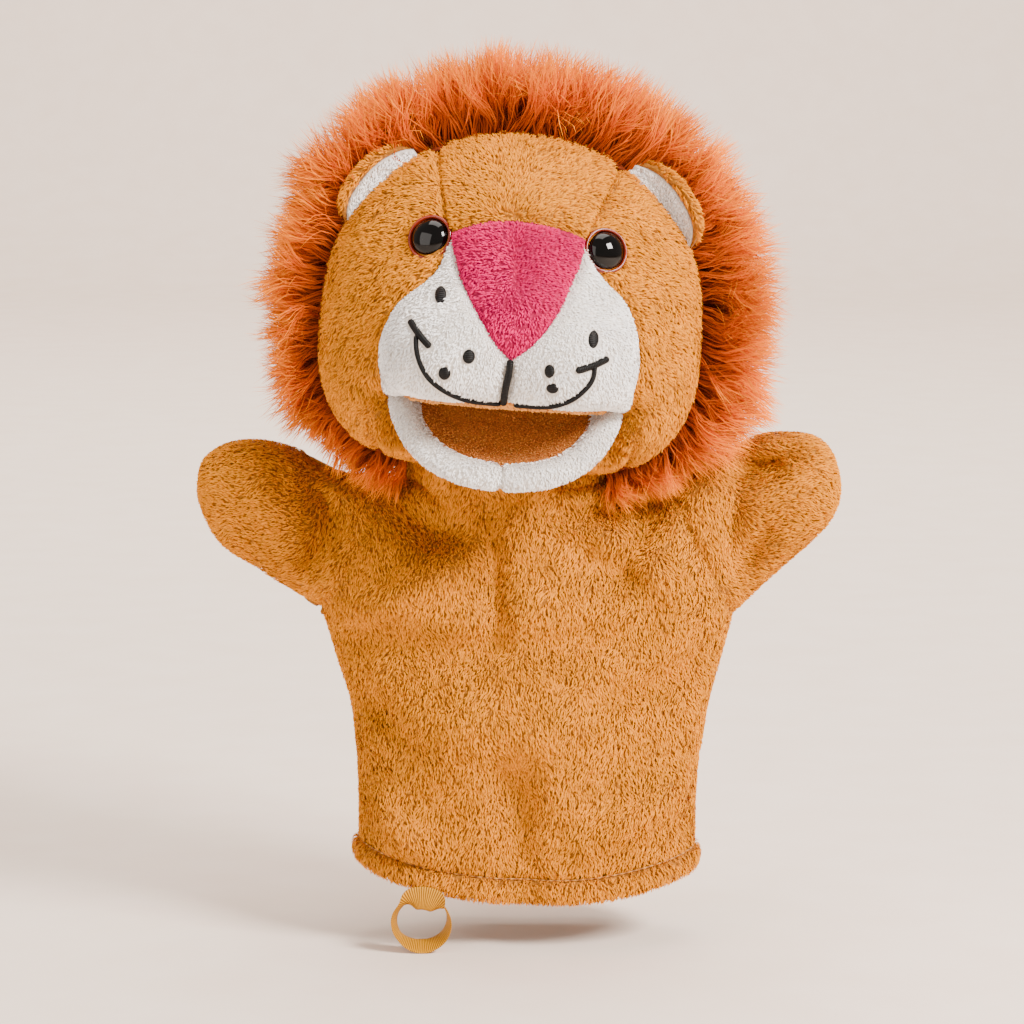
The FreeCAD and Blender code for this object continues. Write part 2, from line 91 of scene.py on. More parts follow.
def from_head(points):
    """Points of the head's own frame, in the puppet's frame."""
    return np.asarray(points, float) @ TURN.T + HEAD_AT


# ---------------------------------------------------------------- numbers and shapes
def dice(name):
    """Random numbers that are the same on every run, one stream for each piece."""
    return np.random.default_rng(zlib.crc32(name.encode()))


def unit(vectors):
    """Vectors at length one."""
    return vectors / np.maximum(np.linalg.norm(vectors, axis=-1, keepdims=True), 1e-9)


def eased(t):
    """0 to 1 with no corner at either end."""
    t = np.clip(t, 0, 1)
    return t * t * (3 - 2 * t)


def lattice(points, cell, seed):
    """Smooth noise from -1 to 1, with features about one cell across."""
    table = np.random.default_rng(seed).uniform(-1, 1, 4096)
    at = np.asarray(points, float) / cell
    low = np.floor(at).astype(int)
    part = eased(at - low)
    total = 0.0
    for corner in range(8):
        step = np.array([(corner >> k) & 1 for k in range(3)])
        weight = np.prod(np.where(step, part, 1 - part), axis=-1)
        key = (low + step) @ np.array([73856093, 19349663, 83492791])
        total = total + weight * table[key % 4096]
    return total


def through(points, per_span=6, closed=False):
    """A smooth curve through a few points."""
    p = np.array(points, float)
    n = len(p)
    out = []
    for i in range(n if closed else n - 1):
        if closed:
            a, b, c, d = p[i - 1], p[i], p[(i + 1) % n], p[(i + 2) % n]
        else:
            a, b, c, d = p[max(i - 1, 0)], p[i], p[i + 1], p[min(i + 2, n - 1)]
        for k in range(per_span):
            t = k / per_span
            out.append(b + 0.5 * ((c - a) * t + (2 * a - 5 * b + 4 * c - d) * t ** 2
                                  + (3 * b - a - 3 * c + d) * t ** 3))
    if not closed:
        out.append(p[-1])
    return np.array(out)


def spaced(line, step, closed=False):
    """The same line with its points an even step apart."""
    line = np.array(line, float)
    if closed:
        line = np.vstack([line, line[:1]])
    length = np.concatenate([[0], np.cumsum(np.linalg.norm(np.diff(line, axis=0), axis=1))])
    count = max(int(round(length[-1] / step)), 3)
    at = np.linspace(0, length[-1], count + 1)
    if closed:
        at = at[:-1]
    return np.stack([np.interp(at, length, line[:, k]) for k in range(line.shape[1])], axis=1)


def near_line(points, line, closed=False):
    """For each point: its distance to a line of straight runs, and how far along the line that is, 0 to 1."""
    line = np.array(line, float)
    if closed:
        line = np.vstack([line, line[:1]])
    start, run = line[:-1], np.diff(line, axis=0)
    size = np.maximum((run ** 2).sum(1), 1e-12)
    length = np.concatenate([[0], np.cumsum(np.sqrt(size))])
    best = np.full(len(points), 1e9)
    along = np.zeros(len(points))
    for block in range(0, len(points), 4000):
        p = points[block:block + 4000, None, :] - start[None]
        t = np.clip((p * run[None]).sum(2) / size[None], 0, 1)
        gap = np.linalg.norm(p - t[..., None] * run[None], axis=2)
        k = gap.argmin(1)
        rows = np.arange(len(k))
        best[block:block + 4000] = gap[rows, k]
        along[block:block + 4000] = (length[k] + t[rows, k] * np.sqrt(size[k])) / length[-1]
    return best, along


def within(points, outline):
    """True for the points inside a closed outline."""
    x, y = points[:, 0], points[:, 1]
    inside = np.zeros(len(points), bool)
    for (x0, y0), (x1, y1) in zip(outline, np.roll(outline, -1, axis=0)):
        if y0 != y1:
            cross = (y0 > y) != (y1 > y)
            inside ^= cross & (x < (x1 - x0) * (y - y0) / (y1 - y0) + x0)
    return inside


def turns_left(outline):
    """The outline, made to run anticlockwise."""
    x, y = outline[:, 0], outline[:, 1]
    area = (x * np.roll(y, -1) - y * np.roll(x, -1)).sum()
    return outline if area > 0 else outline[::-1]


def fill(outline, step, rims=(0.5, 1.2, 2.2)):
    """Triangles over the inside of a closed outline, finer along its edge.

    Returns the points, the triangles and each point's distance from the edge."""
    edge = turns_left(spaced(outline, step * 0.6, closed=True))
    along = unit(np.roll(edge, -1, axis=0) - np.roll(edge, 1, axis=0))
    inward = np.stack([-along[:, 1], along[:, 0]], axis=1)
    points = [edge]
    for rim in rims:
        ring = edge + inward * rim
        ring = ring[within(ring, edge)]
        points.append(ring[near_line(ring, edge, True)[0] > rim * 0.93])
    low, high = edge.min(0), edge.max(0)
    rows = np.arange(low[1], high[1], step * 0.866)
    grid = [np.stack([np.arange(low[0] + (k % 2) * step / 2, high[0], step)] * 2, axis=1)
            for k in range(len(rows))]
    for k, row in enumerate(grid):
        row[:, 1] = rows[k]
    grid = np.vstack(grid)
    grid = grid[within(grid, edge)]
    points.append(grid[near_line(grid, edge, True)[0] > rims[-1] + step * 0.5])
    points = np.vstack(points)
    count = len(edge)
    runs = [(i, (i + 1) % count) for i in range(count)]
    made = geometry.delaunay_2d_cdt([Vector(p) for p in points], runs, [], 1, 1e-6)
    flat = np.array([tuple(v) for v in made[0]])
    triangles = np.array(made[2])
    return flat, triangles, near_line(flat, edge, True)[0]


def normals_of(verts, triangles):
    """Smooth normals at the points of a triangle mesh."""
    a, b, c = (verts[triangles[:, k]] for k in range(3))
    face = np.cross(b - a, c - a)
    total = np.zeros_like(verts)
    for k in range(3):
        np.add.at(total, triangles[:, k], face)
    return unit(total)


def shell(verts, triangles, normals, depth):
    """A closed sheet: the surface, the same surface depth further in, and walls around its edges."""
    count = len(verts)
    inner = verts - normals * depth
    sides = np.vstack([triangles[:, [0, 1]], triangles[:, [1, 2]], triangles[:, [2, 0]]])
    key = np.sort(sides, axis=1)
    _, first, uses = np.unique(key, axis=0, return_index=True, return_counts=True)
    rim = sides[first[uses == 1]]
    walls = np.stack([rim[:, 1], rim[:, 0], rim[:, 0] + count, rim[:, 1] + count], axis=1)
    faces = triangles.tolist() + (triangles[:, ::-1] + count).tolist() + walls.tolist()
    return np.vstack([verts, inner]), faces


def ring_faces(count, around, closed=False):
    """The four-sided faces between neighbouring rings of points, each ring around points long."""
    faces = []
    for i in range(count if closed else count - 1):
        j = (i + 1) % count
        for k in range(around):
            m = (k + 1) % around
            faces.append((i * around + k, j * around + k, j * around + m, i * around + m))
    return faces


def end_caps(count, around):
    """The two faces that close the ends of a row of rings."""
    return [tuple(range(around)), tuple(reversed(range((count - 1) * around, count * around)))]


def split(faces):
    """Faces cut into triangles from their first corner."""
    return np.array([(face[0], face[k], face[k + 1]) for face in faces for k in range(1, len(face) - 1)])


def grid_triangles(rows, columns, closed=False):
    """Two triangles for each cell of a sheet of points. closed joins its last column to its first."""
    triangles = []
    for i in range(rows - 1):
        for j in range(columns if closed else columns - 1):
            k = (j + 1) % columns
            a, b, c, d = i * columns + j, i * columns + k, (i + 1) * columns + k, (i + 1) * columns + j
            triangles += [(a, b, c), (a, c, d)]
    return np.array(triangles)


def faced(verts, triangles, way):
    """The triangles, turned over if their normals point against way."""
    against = (normals_of(verts, triangles) * way).sum(1).mean() < 0
    return triangles[:, ::-1] if against else triangles


# ---------------------------------------------------------------- pieces
def piece(name, verts, faces, material, values=None):
    """A smooth-shaded mesh object from points in millimetres, with optional named values at its points."""
    mesh = bpy.data.meshes.new("puppet_" + name)
    verts = np.asarray(verts, float) * MM
    if isinstance(faces, np.ndarray):
        faces = faces.tolist()
    mesh.from_pydata(verts.tolist(), [], faces)
    mesh.update()
    mesh.polygons.foreach_set("use_smooth", [True] * len(mesh.polygons))
    for key, value in (values or {}).items():
        layer = mesh.attributes.new(key, "FLOAT", "POINT")
        layer.data.foreach_set("value", np.asarray(value, np.float32))
    mesh.materials.append(material)
    made = bpy.data.objects.new("puppet_" + name, mesh)
    bpy.context.scene.collection.objects.link(made)
    return made


def tube(path, radius, around=8, closed=False, flat=1.0, up=(0, 0, 1)):
    """Points and faces of a tube along a path. radius may vary; flat squeezes it along its second axis."""
    path = np.array(path, float)
    n = len(path)
    if closed:
        along = unit(np.roll(path, -1, axis=0) - np.roll(path, 1, axis=0))
    else:
        along = unit(np.gradient(path, axis=0))
    side = unit(np.cross(along, np.broadcast_to(up, along.shape)))
    over = np.cross(side, along)
    radius = np.broadcast_to(radius, (n,))[:, None, None]
    turn = np.linspace(0, 2 * math.pi, around, endpoint=False)
    ring = side[:, None] * np.cos(turn)[None, :, None] + over[:, None] * (flat * np.sin(turn))[None, :, None]
    verts = (path[:, None] + ring * radius).reshape(-1, 3)
    return verts, ring_faces(n, around, closed) + ([] if closed else end_caps(n, around))


def scatter(verts, triangles, per_mm2, rng):
    """Random places on a triangle mesh: their points and the triangle and weights of each."""
    a, b, c = (verts[triangles[:, k]] for k in range(3))
    area = np.linalg.norm(np.cross(b - a, c - a), axis=1) / 2
    count = int(area.sum() * per_mm2)
    pick = rng.choice(len(triangles), count, p=area / area.sum())
    u, v = rng.random(count), rng.random(count)
    over = u + v > 1
    u[over], v[over] = 1 - u[over], 1 - v[over]
    weight = np.stack([1 - u - v, u, v], axis=1)
    return pick, weight


def carried(values, triangles, pick, weight):
    """A value of the mesh's points, at scattered places."""
    found = values[triangles[pick]]
    if found.ndim == 3:
        return (found * weight[..., None]).sum(1)
    return (found * weight).sum(1)


# each pile: tufts to a square millimetre, length, width and how far it lies over, 0 upright to 1 flat
PILE_TAN = (3.5, 2.1, 0.44, 0.86)
PILE_WHITE = (3.6, 1.2, 0.42, 0.8)
PILE_NOSE = (3.4, 1.5, 0.42, 0.75)
PILE_MOUTH = (3.0, 1.0, 0.4, 0.7)


def pile(name, verts, triangles, comb, kind, material, edge=None, clear=None):
    """Short pile as tapered tufts that stand on a surface and lie the way they were combed.

    clear is a list of (line, radius) where there are none, such as under embroidery."""
    rng = dice(name)
    per_mm2, length, width, lie = kind
    pick, weight = scatter(verts, triangles, per_mm2, rng)
    root = carried(verts, triangles, pick, weight)
    keep = np.ones(len(root), bool)
    for line, radius in clear or []:
        keep &= near_line(root, line)[0] > radius
    pick, weight, root = pick[keep], weight[keep], root[keep]
    out = unit(carried(normals_of(verts, triangles), triangles, pick, weight))
    count = len(root)
    way = comb(root, out)
    swirl = 0.6 * lattice(root, 6.0, 5) + 0.35 * lattice(root, 2.4, 6) + rng.normal(0, 0.2, count)
    way = unit(way - out * (way * out).sum(1)[:, None])
    across = np.cross(out, way)
    way = way * np.cos(swirl)[:, None] + across * np.sin(swirl)[:, None]
    across = np.cross(out, way)
    roll = rng.normal(0, 0.35, count)[:, None]
    flat = unit(across * np.cos(roll) + out * np.sin(roll))
    size = length * rng.uniform(0.7, 1.25, count)[:, None]
    if edge is not None:
        size = size * (0.55 + 0.45 * eased(carried(edge, triangles, pick, weight) / 2.5))[:, None]
    lean = np.clip(lie + rng.normal(0, 0.12, count), 0.1, 0.95)[:, None]
    middle = root + out * size * (0.62 - 0.3 * lean) + way * size * 0.34 * lean
    tip = root + out * size * (1.0 - 0.72 * lean) + way * size * lean
    half = width / 2 * rng.uniform(0.75, 1.2, count)[:, None]
    root = root - out * 0.25
    made = np.stack([root - flat * half * 0.8, root + flat * half * 0.8, middle + flat * half,
                     middle - flat * half, tip], axis=1).reshape(-1, 3)
    base = np.arange(count)[:, None] * 5
    faces = (base + np.array([0, 1, 2, 3])).tolist() + (base + np.array([3, 2, 4])).tolist()
    height = np.tile([0.0, 0.0, 0.62, 0.62, 1.0], count)
    tint = np.repeat(rng.uniform(0, 1, count), 5)
    return piece(name, made, faces, material, {"height": height, "tint": tint})


# ---------------------------------------------------------------- materials
def linear(code):
    """A colour's sRGB hex code as linear red, green, blue, alpha."""
    values = [int(code[i:i + 2], 16) / 255 for i in (0, 2, 4)]
    return tuple(v / 12.92 if v <= 0.04045 else ((v + 0.055) / 1.055) ** 2.4 for v in values) + (1.0,)


def add(tree, kind, settings=None, inputs=None):
    """Adds a node, sets its settings, and fills or links its inputs."""
    made = tree.nodes.new(kind)
    for key, value in (settings or {}).items():
        setattr(made, key, value)
    for key, value in (inputs or {}).items():
        if isinstance(value, bpy.types.NodeSocket):
            tree.links.new(value, made.inputs[key])
        else:
            made.inputs[key].default_value = value
    return made


def blank(name, **sockets):
    """A new material with one Principled shader, its plain values set on the shader's own sockets."""
    material = bpy.data.materials.new(name)
    material.use_nodes = True
    tree = material.node_tree
    shader = tree.nodes["Principled BSDF"]
    for key, value in sockets.items():
        shader.inputs[key.replace("_", " ")].default_value = value
    return material, tree, shader


def ramp(tree, factor, stops):
    """A colour ramp of (place, hex) stops."""
    made = add(tree, "ShaderNodeValToRGB", {}, {"Fac": factor})
    bar = made.color_ramp.elements
    while len(bar) < len(stops):
        bar.new(0.5)
    for element, (place, code) in zip(bar, stops):
        element.position = place
        element.color = linear(code)
    return made.outputs["Color"]


def pile_material(name, root, middle, tip, sheen=0.0, tone_mm=9.0, shade=0.13):
    """Polyester pile: painted shade darkens the tufts where they meet the backing, and painted light makes
    them pale and soft at their tips.

    The eye reads dark gaps between bright strokes, and slow patches of painted light and shade, as where the
    pile lies another way."""
    material, tree, shader = blank(name, Roughness=0.75, Sheen_Weight=sheen, Sheen_Roughness=0.45,
                                   Specular_IOR_Level=0.06)
    height = add(tree, "ShaderNodeAttribute", {"attribute_name": "height"}).outputs["Fac"]
    tint = add(tree, "ShaderNodeAttribute", {"attribute_name": "tint"}).outputs["Fac"]
    where = add(tree, "ShaderNodeTexCoord").outputs["Object"]
    # slow patches painted a little lighter and darker: painted light and shade, as where the pile lies
    # another way
    patch = add(tree, "ShaderNodeTexNoise", {}, {"Vector": where, "Scale": 1 / (tone_mm * MM), "Detail": 2.0})
    # the ramp from dark roots to pale tips is painted shade deep in the pile and painted light at the tips
    colour = ramp(tree, height, [(0.0, root), (0.55, middle), (1.0, tip)])
    vary = add(tree, "ShaderNodeMapRange", {}, {"Value": tint, "To Min": 1 - shade, "To Max": 1 + shade})
    tone = add(tree, "ShaderNodeMapRange", {},
               {"Value": patch.outputs["Fac"], "From Min": 0.3, "From Max": 0.7,
                "To Min": 0.9, "To Max": 1.1})
    both = add(tree, "ShaderNodeMath", {"operation": "MULTIPLY"}, {0: vary.outputs[0], 1: tone.outputs[0]})
    mixed = add(tree, "ShaderNodeVectorMath", {"operation": "SCALE"}, {0: colour, "Scale": both.outputs[0]})
    tree.links.new(mixed.outputs["Vector"], shader.inputs["Base Color"])
    return material


def backing_material(name, low, high, loop_mm=0.9):
    """Knitted polyester backing: fine loops that show between the tufts and inside the glove."""
    material, tree, shader = blank(name, Roughness=0.9, Specular_IOR_Level=0.15, Sheen_Weight=0.1)
    where = add(tree, "ShaderNodeTexCoord").outputs["Object"]
    loops = add(tree, "ShaderNodeTexVoronoi", {}, {"Vector": where, "Scale": 1 / (loop_mm * MM)})
    # each knit loop is painted lighter at its middle and darker towards its edge: painted shade between the
    # loops
    colour = ramp(tree, loops.outputs["Distance"], [(0.1, high), (0.75, low)])
    tree.links.new(colour, shader.inputs["Base Color"])
    bump = add(tree, "ShaderNodeBump", {"invert": True},
               {"Height": loops.outputs["Distance"], "Strength": 0.5, "Distance": 0.3 * MM})
    tree.links.new(bump.outputs["Normal"], shader.inputs["Normal"])
    return material


def striped_material(name, low, middle, high, stripe_mm, **sockets):
    """Thread or ribbon: close raised ribs across its length, each catching the light along its crown."""
    material, tree, shader = blank(name, **sockets)
    along = add(tree, "ShaderNodeAttribute", {"attribute_name": "along"}).outputs["Fac"]
    turns = add(tree, "ShaderNodeMath", {"operation": "MULTIPLY"}, {0: along, 1: 2 * math.pi / stripe_mm})
    wave = add(tree, "ShaderNodeMath", {"operation": "SINE"}, {0: turns.outputs[0]})
    fit = add(tree, "ShaderNodeMapRange", {}, {"Value": wave.outputs[0], "From Min": -1.0})
    # the ramp paints each rib's crown light and the groove between ribs dark: painted highlight and painted
    # shade
    colour = ramp(tree, fit.outputs[0], [(0.0, low), (0.6, middle), (1.0, high)])
    tree.links.new(colour, shader.inputs["Base Color"])
    bump = add(tree, "ShaderNodeBump", {}, {"Height": fit.outputs[0], "Strength": 0.6, "Distance": 0.15 * MM})
    tree.links.new(bump.outputs["Normal"], shader.inputs["Normal"])
    return material


def moulded_material(name, low, high, **sockets):
    """Moulded and polished plastic: one even colour with faint flow marks, and a clear hard shine."""
    material, tree, shader = blank(name, **sockets)
    where = add(tree, "ShaderNodeTexCoord").outputs["Object"]
    flow = add(tree, "ShaderNodeTexNoise", {}, {"Vector": where, "Scale": 1 / (4.0 * MM), "Detail": 1.0})
    colour = ramp(tree, flow.outputs["Fac"], [(0.3, low), (0.7, high)])
    tree.links.new(colour, shader.inputs["Base Color"])
    return material


def make_materials():
    """Every finish of the puppet, by its own name."""
    return {
        # each pile's colours run root, middle, tip: the darker root is painted shade deep in the pile and the
        # paler tip painted light; each backing's darker colour is painted shade between its knit loops
        "tan": pile_material("minky pile, golden tan", "9C5600", "CE7C02", "F09C0C"),
        "tan_back": backing_material("minky backing, golden tan", "8A5410", "B47420"),
        "white": pile_material("minky pile, white", "DCD8D4", "FAF8F6", "FFFFFF", shade=0.05),
        "white_back": backing_material("minky backing, white", "C9C3BC", "E4DFD8"),
        "magenta": pile_material("minky pile, magenta", "A00040", "CC0056", "DE0068", shade=0.1),
        "magenta_back": backing_material("minky backing, magenta", "8A0038", "B4084E"),
        "mouth": pile_material("minky pile, brown", "C87E30", "EEA452", "FFBA68", shade=0.08),
        "mouth_back": backing_material("minky backing, brown", "9A5818", "BC7426"),
        "mane": pile_material("long acrylic pile, orange", "782800", "D86000", "FF9A08", shade=0.25),
        "mane_back": backing_material("long pile backing, rust", "5A1E04", "7E300A"),
        # the thread, stitch and ribbon colours run from painted shade between their ribs to painted highlight
        # on the crowns
        "thread": striped_material("embroidery thread, black", "000000", "020203", "0B0B0D", 0.5,
                                   Roughness=0.5, Specular_IOR_Level=0.2),
        "stitch": striped_material("sewing thread, tan", "7E4A0E", "A86A1E", "C88A34", 2.4, Roughness=0.6),
        "eye": moulded_material("polished acrylic, black", "000000", "030202", Roughness=0.05,
                                Specular_IOR_Level=0.3),
        "rim": moulded_material("polished acrylic, amber", "5A1204", "8A2406", Roughness=0.1,
                                Specular_IOR_Level=0.45),
        "lining": backing_material("knitted lining, beige", "A8906A", "CDB88E", 1.4),
        "washer": moulded_material("moulded plastic, white", "CFCDC6", "DAD8D2", Roughness=0.45),
        "ribbon": striped_material("grosgrain ribbon, gold", "6E4400", "B87A00", "E0A000", 0.55,
                                   Roughness=0.5, Specular_IOR_Level=0.2),
        "stage": stage_material(),
    }


def stage_material():
    """Painted studio paper: pale, warm and matt."""
    material, tree, shader = blank("studio paper, warm white", Roughness=0.85, Specular_IOR_Level=0.2)
    where = add(tree, "ShaderNodeTexCoord").outputs["Object"]
    fibre = add(tree, "ShaderNodeTexNoise", {}, {"Vector": where, "Scale": 40.0, "Detail": 3.0})
    colour = ramp(tree, fibre.outputs["Fac"], [(0.3, "EFDFD2"), (0.7, "F2E4D8")])
    tree.links.new(colour, shader.inputs["Base Color"])
    return material


MATERIALS = {}


# ---------------------------------------------------------------- the head's surface
MIDDLE = np.array([0.0, -6.0, -4.0])           # every ray to the head's surface starts here
SPREAD = 50.0                                  # how far an angle of one radian is on the flat pattern
LIP_Z = -26.0                                  # the upper lip's underside
NEAREST = -92.0                                # a depth in front of every part of the face
FACE_BALLS = [((0, 0, 0), (56, 46, 50)), ((-27, -9, -20), (27, 28, 28)), ((27, -9, -20), (27, 28, 28))]
MUZZLE_BALLS = [((0, -30, -9), (36, 31, 27)), ((-15, -37, -14), (22, 26, 19)), ((15, -37, -14), (22, 26, 19)),
                ((0, -32, 10), (24, 19, 24))]


def ball(points, middle, radii):
    """About how far points are outside an ellipsoid."""
    p, r = points - np.array(middle, float), np.array(radii, float)
    near = np.linalg.norm(p / r, axis=1)
    return near * (near - 1) / np.maximum(np.linalg.norm(p / r ** 2, axis=1), 1e-9)


def melt(a, b, width):
    """The lower of two distances, rounded where they meet."""
    mix = np.clip(0.5 + 0.5 * (b - a) / width, 0, 1)
    return b + (a - b) * mix - width * mix * (1 - mix)


def head_distance(p):
    """About how far points of the head's frame are outside the stuffed head."""
    face = ball(p, *FACE_BALLS[0])
    for side in FACE_BALLS[1:]:
        face = melt(face, ball(p, *side), 9.0)
    room = 10.0 - 17.0 * eased((np.abs(p[:, 0]) - 31) / 10)
    behind = 0.819 * (p[:, 1] - HINGE[1]) - 0.574 * (p[:, 2] - HINGE[2])
    gape = melt(room - behind, LIP_Z - p[:, 2], 3.0)
    face = -melt(-face, -gape, 5.0)
    muzzle = ball(p, *MUZZLE_BALLS[0])
    for lobe in MUZZLE_BALLS[1:]:
        muzzle = melt(muzzle, ball(p, *lobe), 6.0)
    muzzle = -melt(-muzzle, p[:, 2] - LIP_Z, 4.0)
    return melt(face, muzzle, 8.0)


def ray_length(way, low=8.0, high=95.0):
    """How far along each ray from the middle the head's surface is."""
    low, high = np.full(len(way), low), np.full(len(way), high)
    for _ in range(26):
        half = (low + high) / 2
        outside = head_distance(MIDDLE + way * half[:, None]) > 0
        high = np.where(outside, half, high)
        low = np.where(outside, low, half)
    return (low + high) / 2


def flat_to_way(flat):
    """The ray through a point of the flat pattern, which spreads out from straight ahead."""
    far = np.linalg.norm(flat, axis=1)
    angle = far / SPREAD
    side = flat / np.maximum(far, 1e-9)[:, None] * np.sin(angle)[:, None]
    return np.stack([side[:, 0], -np.cos(angle), side[:, 1]], axis=1)


def way_to_flat(way):
    """The point of the flat pattern that a ray goes through."""
    way = unit(way)
    angle = np.arccos(np.clip(-way[:, 1], -1, 1))
    side = way[:, [0, 2]]
    return side / np.maximum(np.linalg.norm(side, axis=1), 1e-9)[:, None] * (angle * SPREAD)[:, None]


def toward(points):
    """The flat pattern's points on the rays that pass through some points of the head's frame."""
    return way_to_flat(np.array(points, float) - MIDDLE)


def facing(points):
    """The flat pattern's points of the surface seen straight from the front at (x, z)."""
    points = np.array(points, float)
    x, z = points[:, 0], points[:, 1]
    far = np.full(len(x), NEAREST)
    found = np.zeros(len(x), bool)
    for step in np.arange(NEAREST, 40, 0.5):
        inside = head_distance(np.stack([x, np.full(len(x), step), z], axis=1)) <= 0
        far = np.where(~found & inside, step, far)
        found |= inside
    near = far - 0.5
    for _ in range(14):
        half = (near + far) / 2
        outside = head_distance(np.stack([x, half, z], axis=1)) > 0
        near, far = np.where(outside, half, near), np.where(outside, far, half)
    return toward(np.stack([x, far, z], axis=1))


def on_head(flat, lift=0.0):
    """Points of the head's surface, in the head's frame, pushed out along their rays by lift."""
    way = flat_to_way(flat)
    return MIDDLE + way * (ray_length(way) + lift)[:, None]


# the seams of the face, as seen from the front: (x, z) in the head's frame
NOSE_TOP = [(-19.8, 21.0), (-12, 24.4), (-3, 26.0), (8, 25.4), (19.4, 22.4)]
NOSE_RIGHT = [(19.4, 22.4), (18.4, 15.5), (14.9, 6), (9.6, -3.9), (4.4, -9.8), (0.2, -12.6)]
NOSE_LEFT = [(0.2, -12.6), (-4.0, -8.8), (-10.4, 0.0), (-16.2, 10.0), (-19.8, 21.0)]
GUSSET_LEFT = [(-24.6, 41.5), (-22.6, 32.0), (-19.8, 21.0)]
GUSSET_RIGHT = [(28.2, 42.0), (24.0, 33.5), (19.4, 22.4)]
MUZZLE_LEFT = [(-19.8, 21.0), (-22.0, 12.1), (-26.0, 6.6), (-32.8, 0.4), (-36.6, -7.4), (-37.9, -15.0),
               (-37.0, -21.5)]
MUZZLE_RIGHT = [(19.4, 22.4), (22.2, 15.6), (25.6, 11.1), (31.6, 5.8), (35.7, -1.8), (37.2, -9.2),
                (36.8, -19.5)]
FACE_BACK_Y = -6.0                             # the face's edge goes under the mane here
PALATE_HALF, PALATE_LONG = 30.0, 29.0


def back_edge(start, end, count=26):
    """The face's outer edge under the mane, between two angles round the head (degrees, 90 is the top)."""
    turn = np.radians(np.linspace(start, end, count))
    return toward(np.stack([58 * np.cos(turn), np.full(count, FACE_BACK_Y), 52 * np.sin(turn)], axis=1))


def palate_edge(start, end, count=18):
    """The palate's edge on the underside of the upper lip, between two angles (0 is the right corner)."""
    turn = np.radians(np.linspace(start, end, count))
    return toward(np.stack([PALATE_HALF * np.cos(turn), HINGE[1] - PALATE_LONG * np.sin(turn),
                            np.full(count, LIP_Z - 0.5)], axis=1))


def face_patterns():
    """The outline of every panel of the face on the flat pattern."""
    left, right = through(facing(GUSSET_LEFT), 5), through(facing(GUSSET_RIGHT), 5)
    nose_top, nose_right, nose_left = (through(facing(line), 5) for line in (NOSE_TOP, NOSE_RIGHT, NOSE_LEFT))
    corner = toward([(-34.0, -29.5, LIP_Z - 1.5), (34.0, -29.5, LIP_Z - 1.5)])
    muzzle_left = np.vstack([through(facing(MUZZLE_LEFT), 5), corner[:1]])
    muzzle_right = np.vstack([through(facing(MUZZLE_RIGHT), 5), corner[1:]])
    top = [math.degrees(math.atan2(47, -24)), math.degrees(math.atan2(47, 28))]
    under = toward([(-33, -12, -44), (33, -12, -44)])
    throat_back = toward([(-24, 4, -52), (0, 6, -54), (24, 4, -52)])
    return {
        "nose": np.vstack([nose_top[:-1], nose_right[:-1], nose_left[:-1]]),
        "gusset": np.vstack([left, nose_top[1:-1], right[::-1], back_edge(top[1], top[0], 12)]),
        "muzzle_left": np.vstack([muzzle_left, palate_edge(180, 90, 12), nose_left[:-1]]),
        "muzzle_right": np.vstack([nose_right[1:], palate_edge(90, 0, 12), muzzle_right[::-1]]),
        "palate": palate_edge(0, 180, 24),
        "side_left": np.vstack([left, muzzle_left, under[:1], throat_back[:1], back_edge(236, top[0], 30)]),
        "side_right": np.vstack([right, muzzle_right, under[1:], throat_back[2:],
                                 back_edge(-56, top[1], 30)]),
        "throat": np.vstack([palate_edge(180, 180, 1), corner[:1], under[:1], throat_back, under[1:],
                             corner[1:], palate_edge(0, 0, 1)]),
    }


def head_panel(outline, step=1.5, seam=1.3, fat=0.0):
    """A panel of the head from its flat outline: its points, triangles and distance from its seams."""
    flat, triangles, edge = fill(outline, step)
    bulge = fat * eased(edge / 9) - seam * (1 - eased(edge / 2.6))
    verts = from_head(on_head(flat, bulge))
    a, b, c = (verts[triangles[0, k]] for k in range(3))
    middle = from_head(MIDDLE[None])[0]
    if np.dot(np.cross(b - a, c - a), a - middle) < 0:
        triangles = triangles[:, ::-1]
    return verts, triangles, edge


def face_comb(root, out):
    """The face's pile lies away from the nose and down."""
    from_nose = root - from_head(np.array([[0.0, -60.0, 8.0]]))
    return unit(from_nose) * 0.8 + np.array([0, 0, -0.7])


def down_comb(root, out):
    """Pile that lies straight down."""
    return np.broadcast_to(np.array([0.0, 0.0, -1.0]), root.shape)


def cloth(name, verts, triangles, edge, finish, body, nodes, kind, comb=face_comb, depth=1.2, hold=None,
          clear=None):
    """One sewn panel and its pile in place of its frame nodes, riding on a body, or placed by hold instead
    when one is given.
    """
    shell_verts, faces = shell(verts, triangles, normals_of(verts, triangles), depth)
    base = piece(name, shell_verts, faces, MATERIALS[finish + "_back"])
    hair = pile(name + "_pile", verts, triangles, comb, kind, MATERIALS[finish], edge, clear)
    for made in (base, hair):
        if hold:
            hold(made)
        else:
            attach(made, body)
    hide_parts(*nodes)
    return base


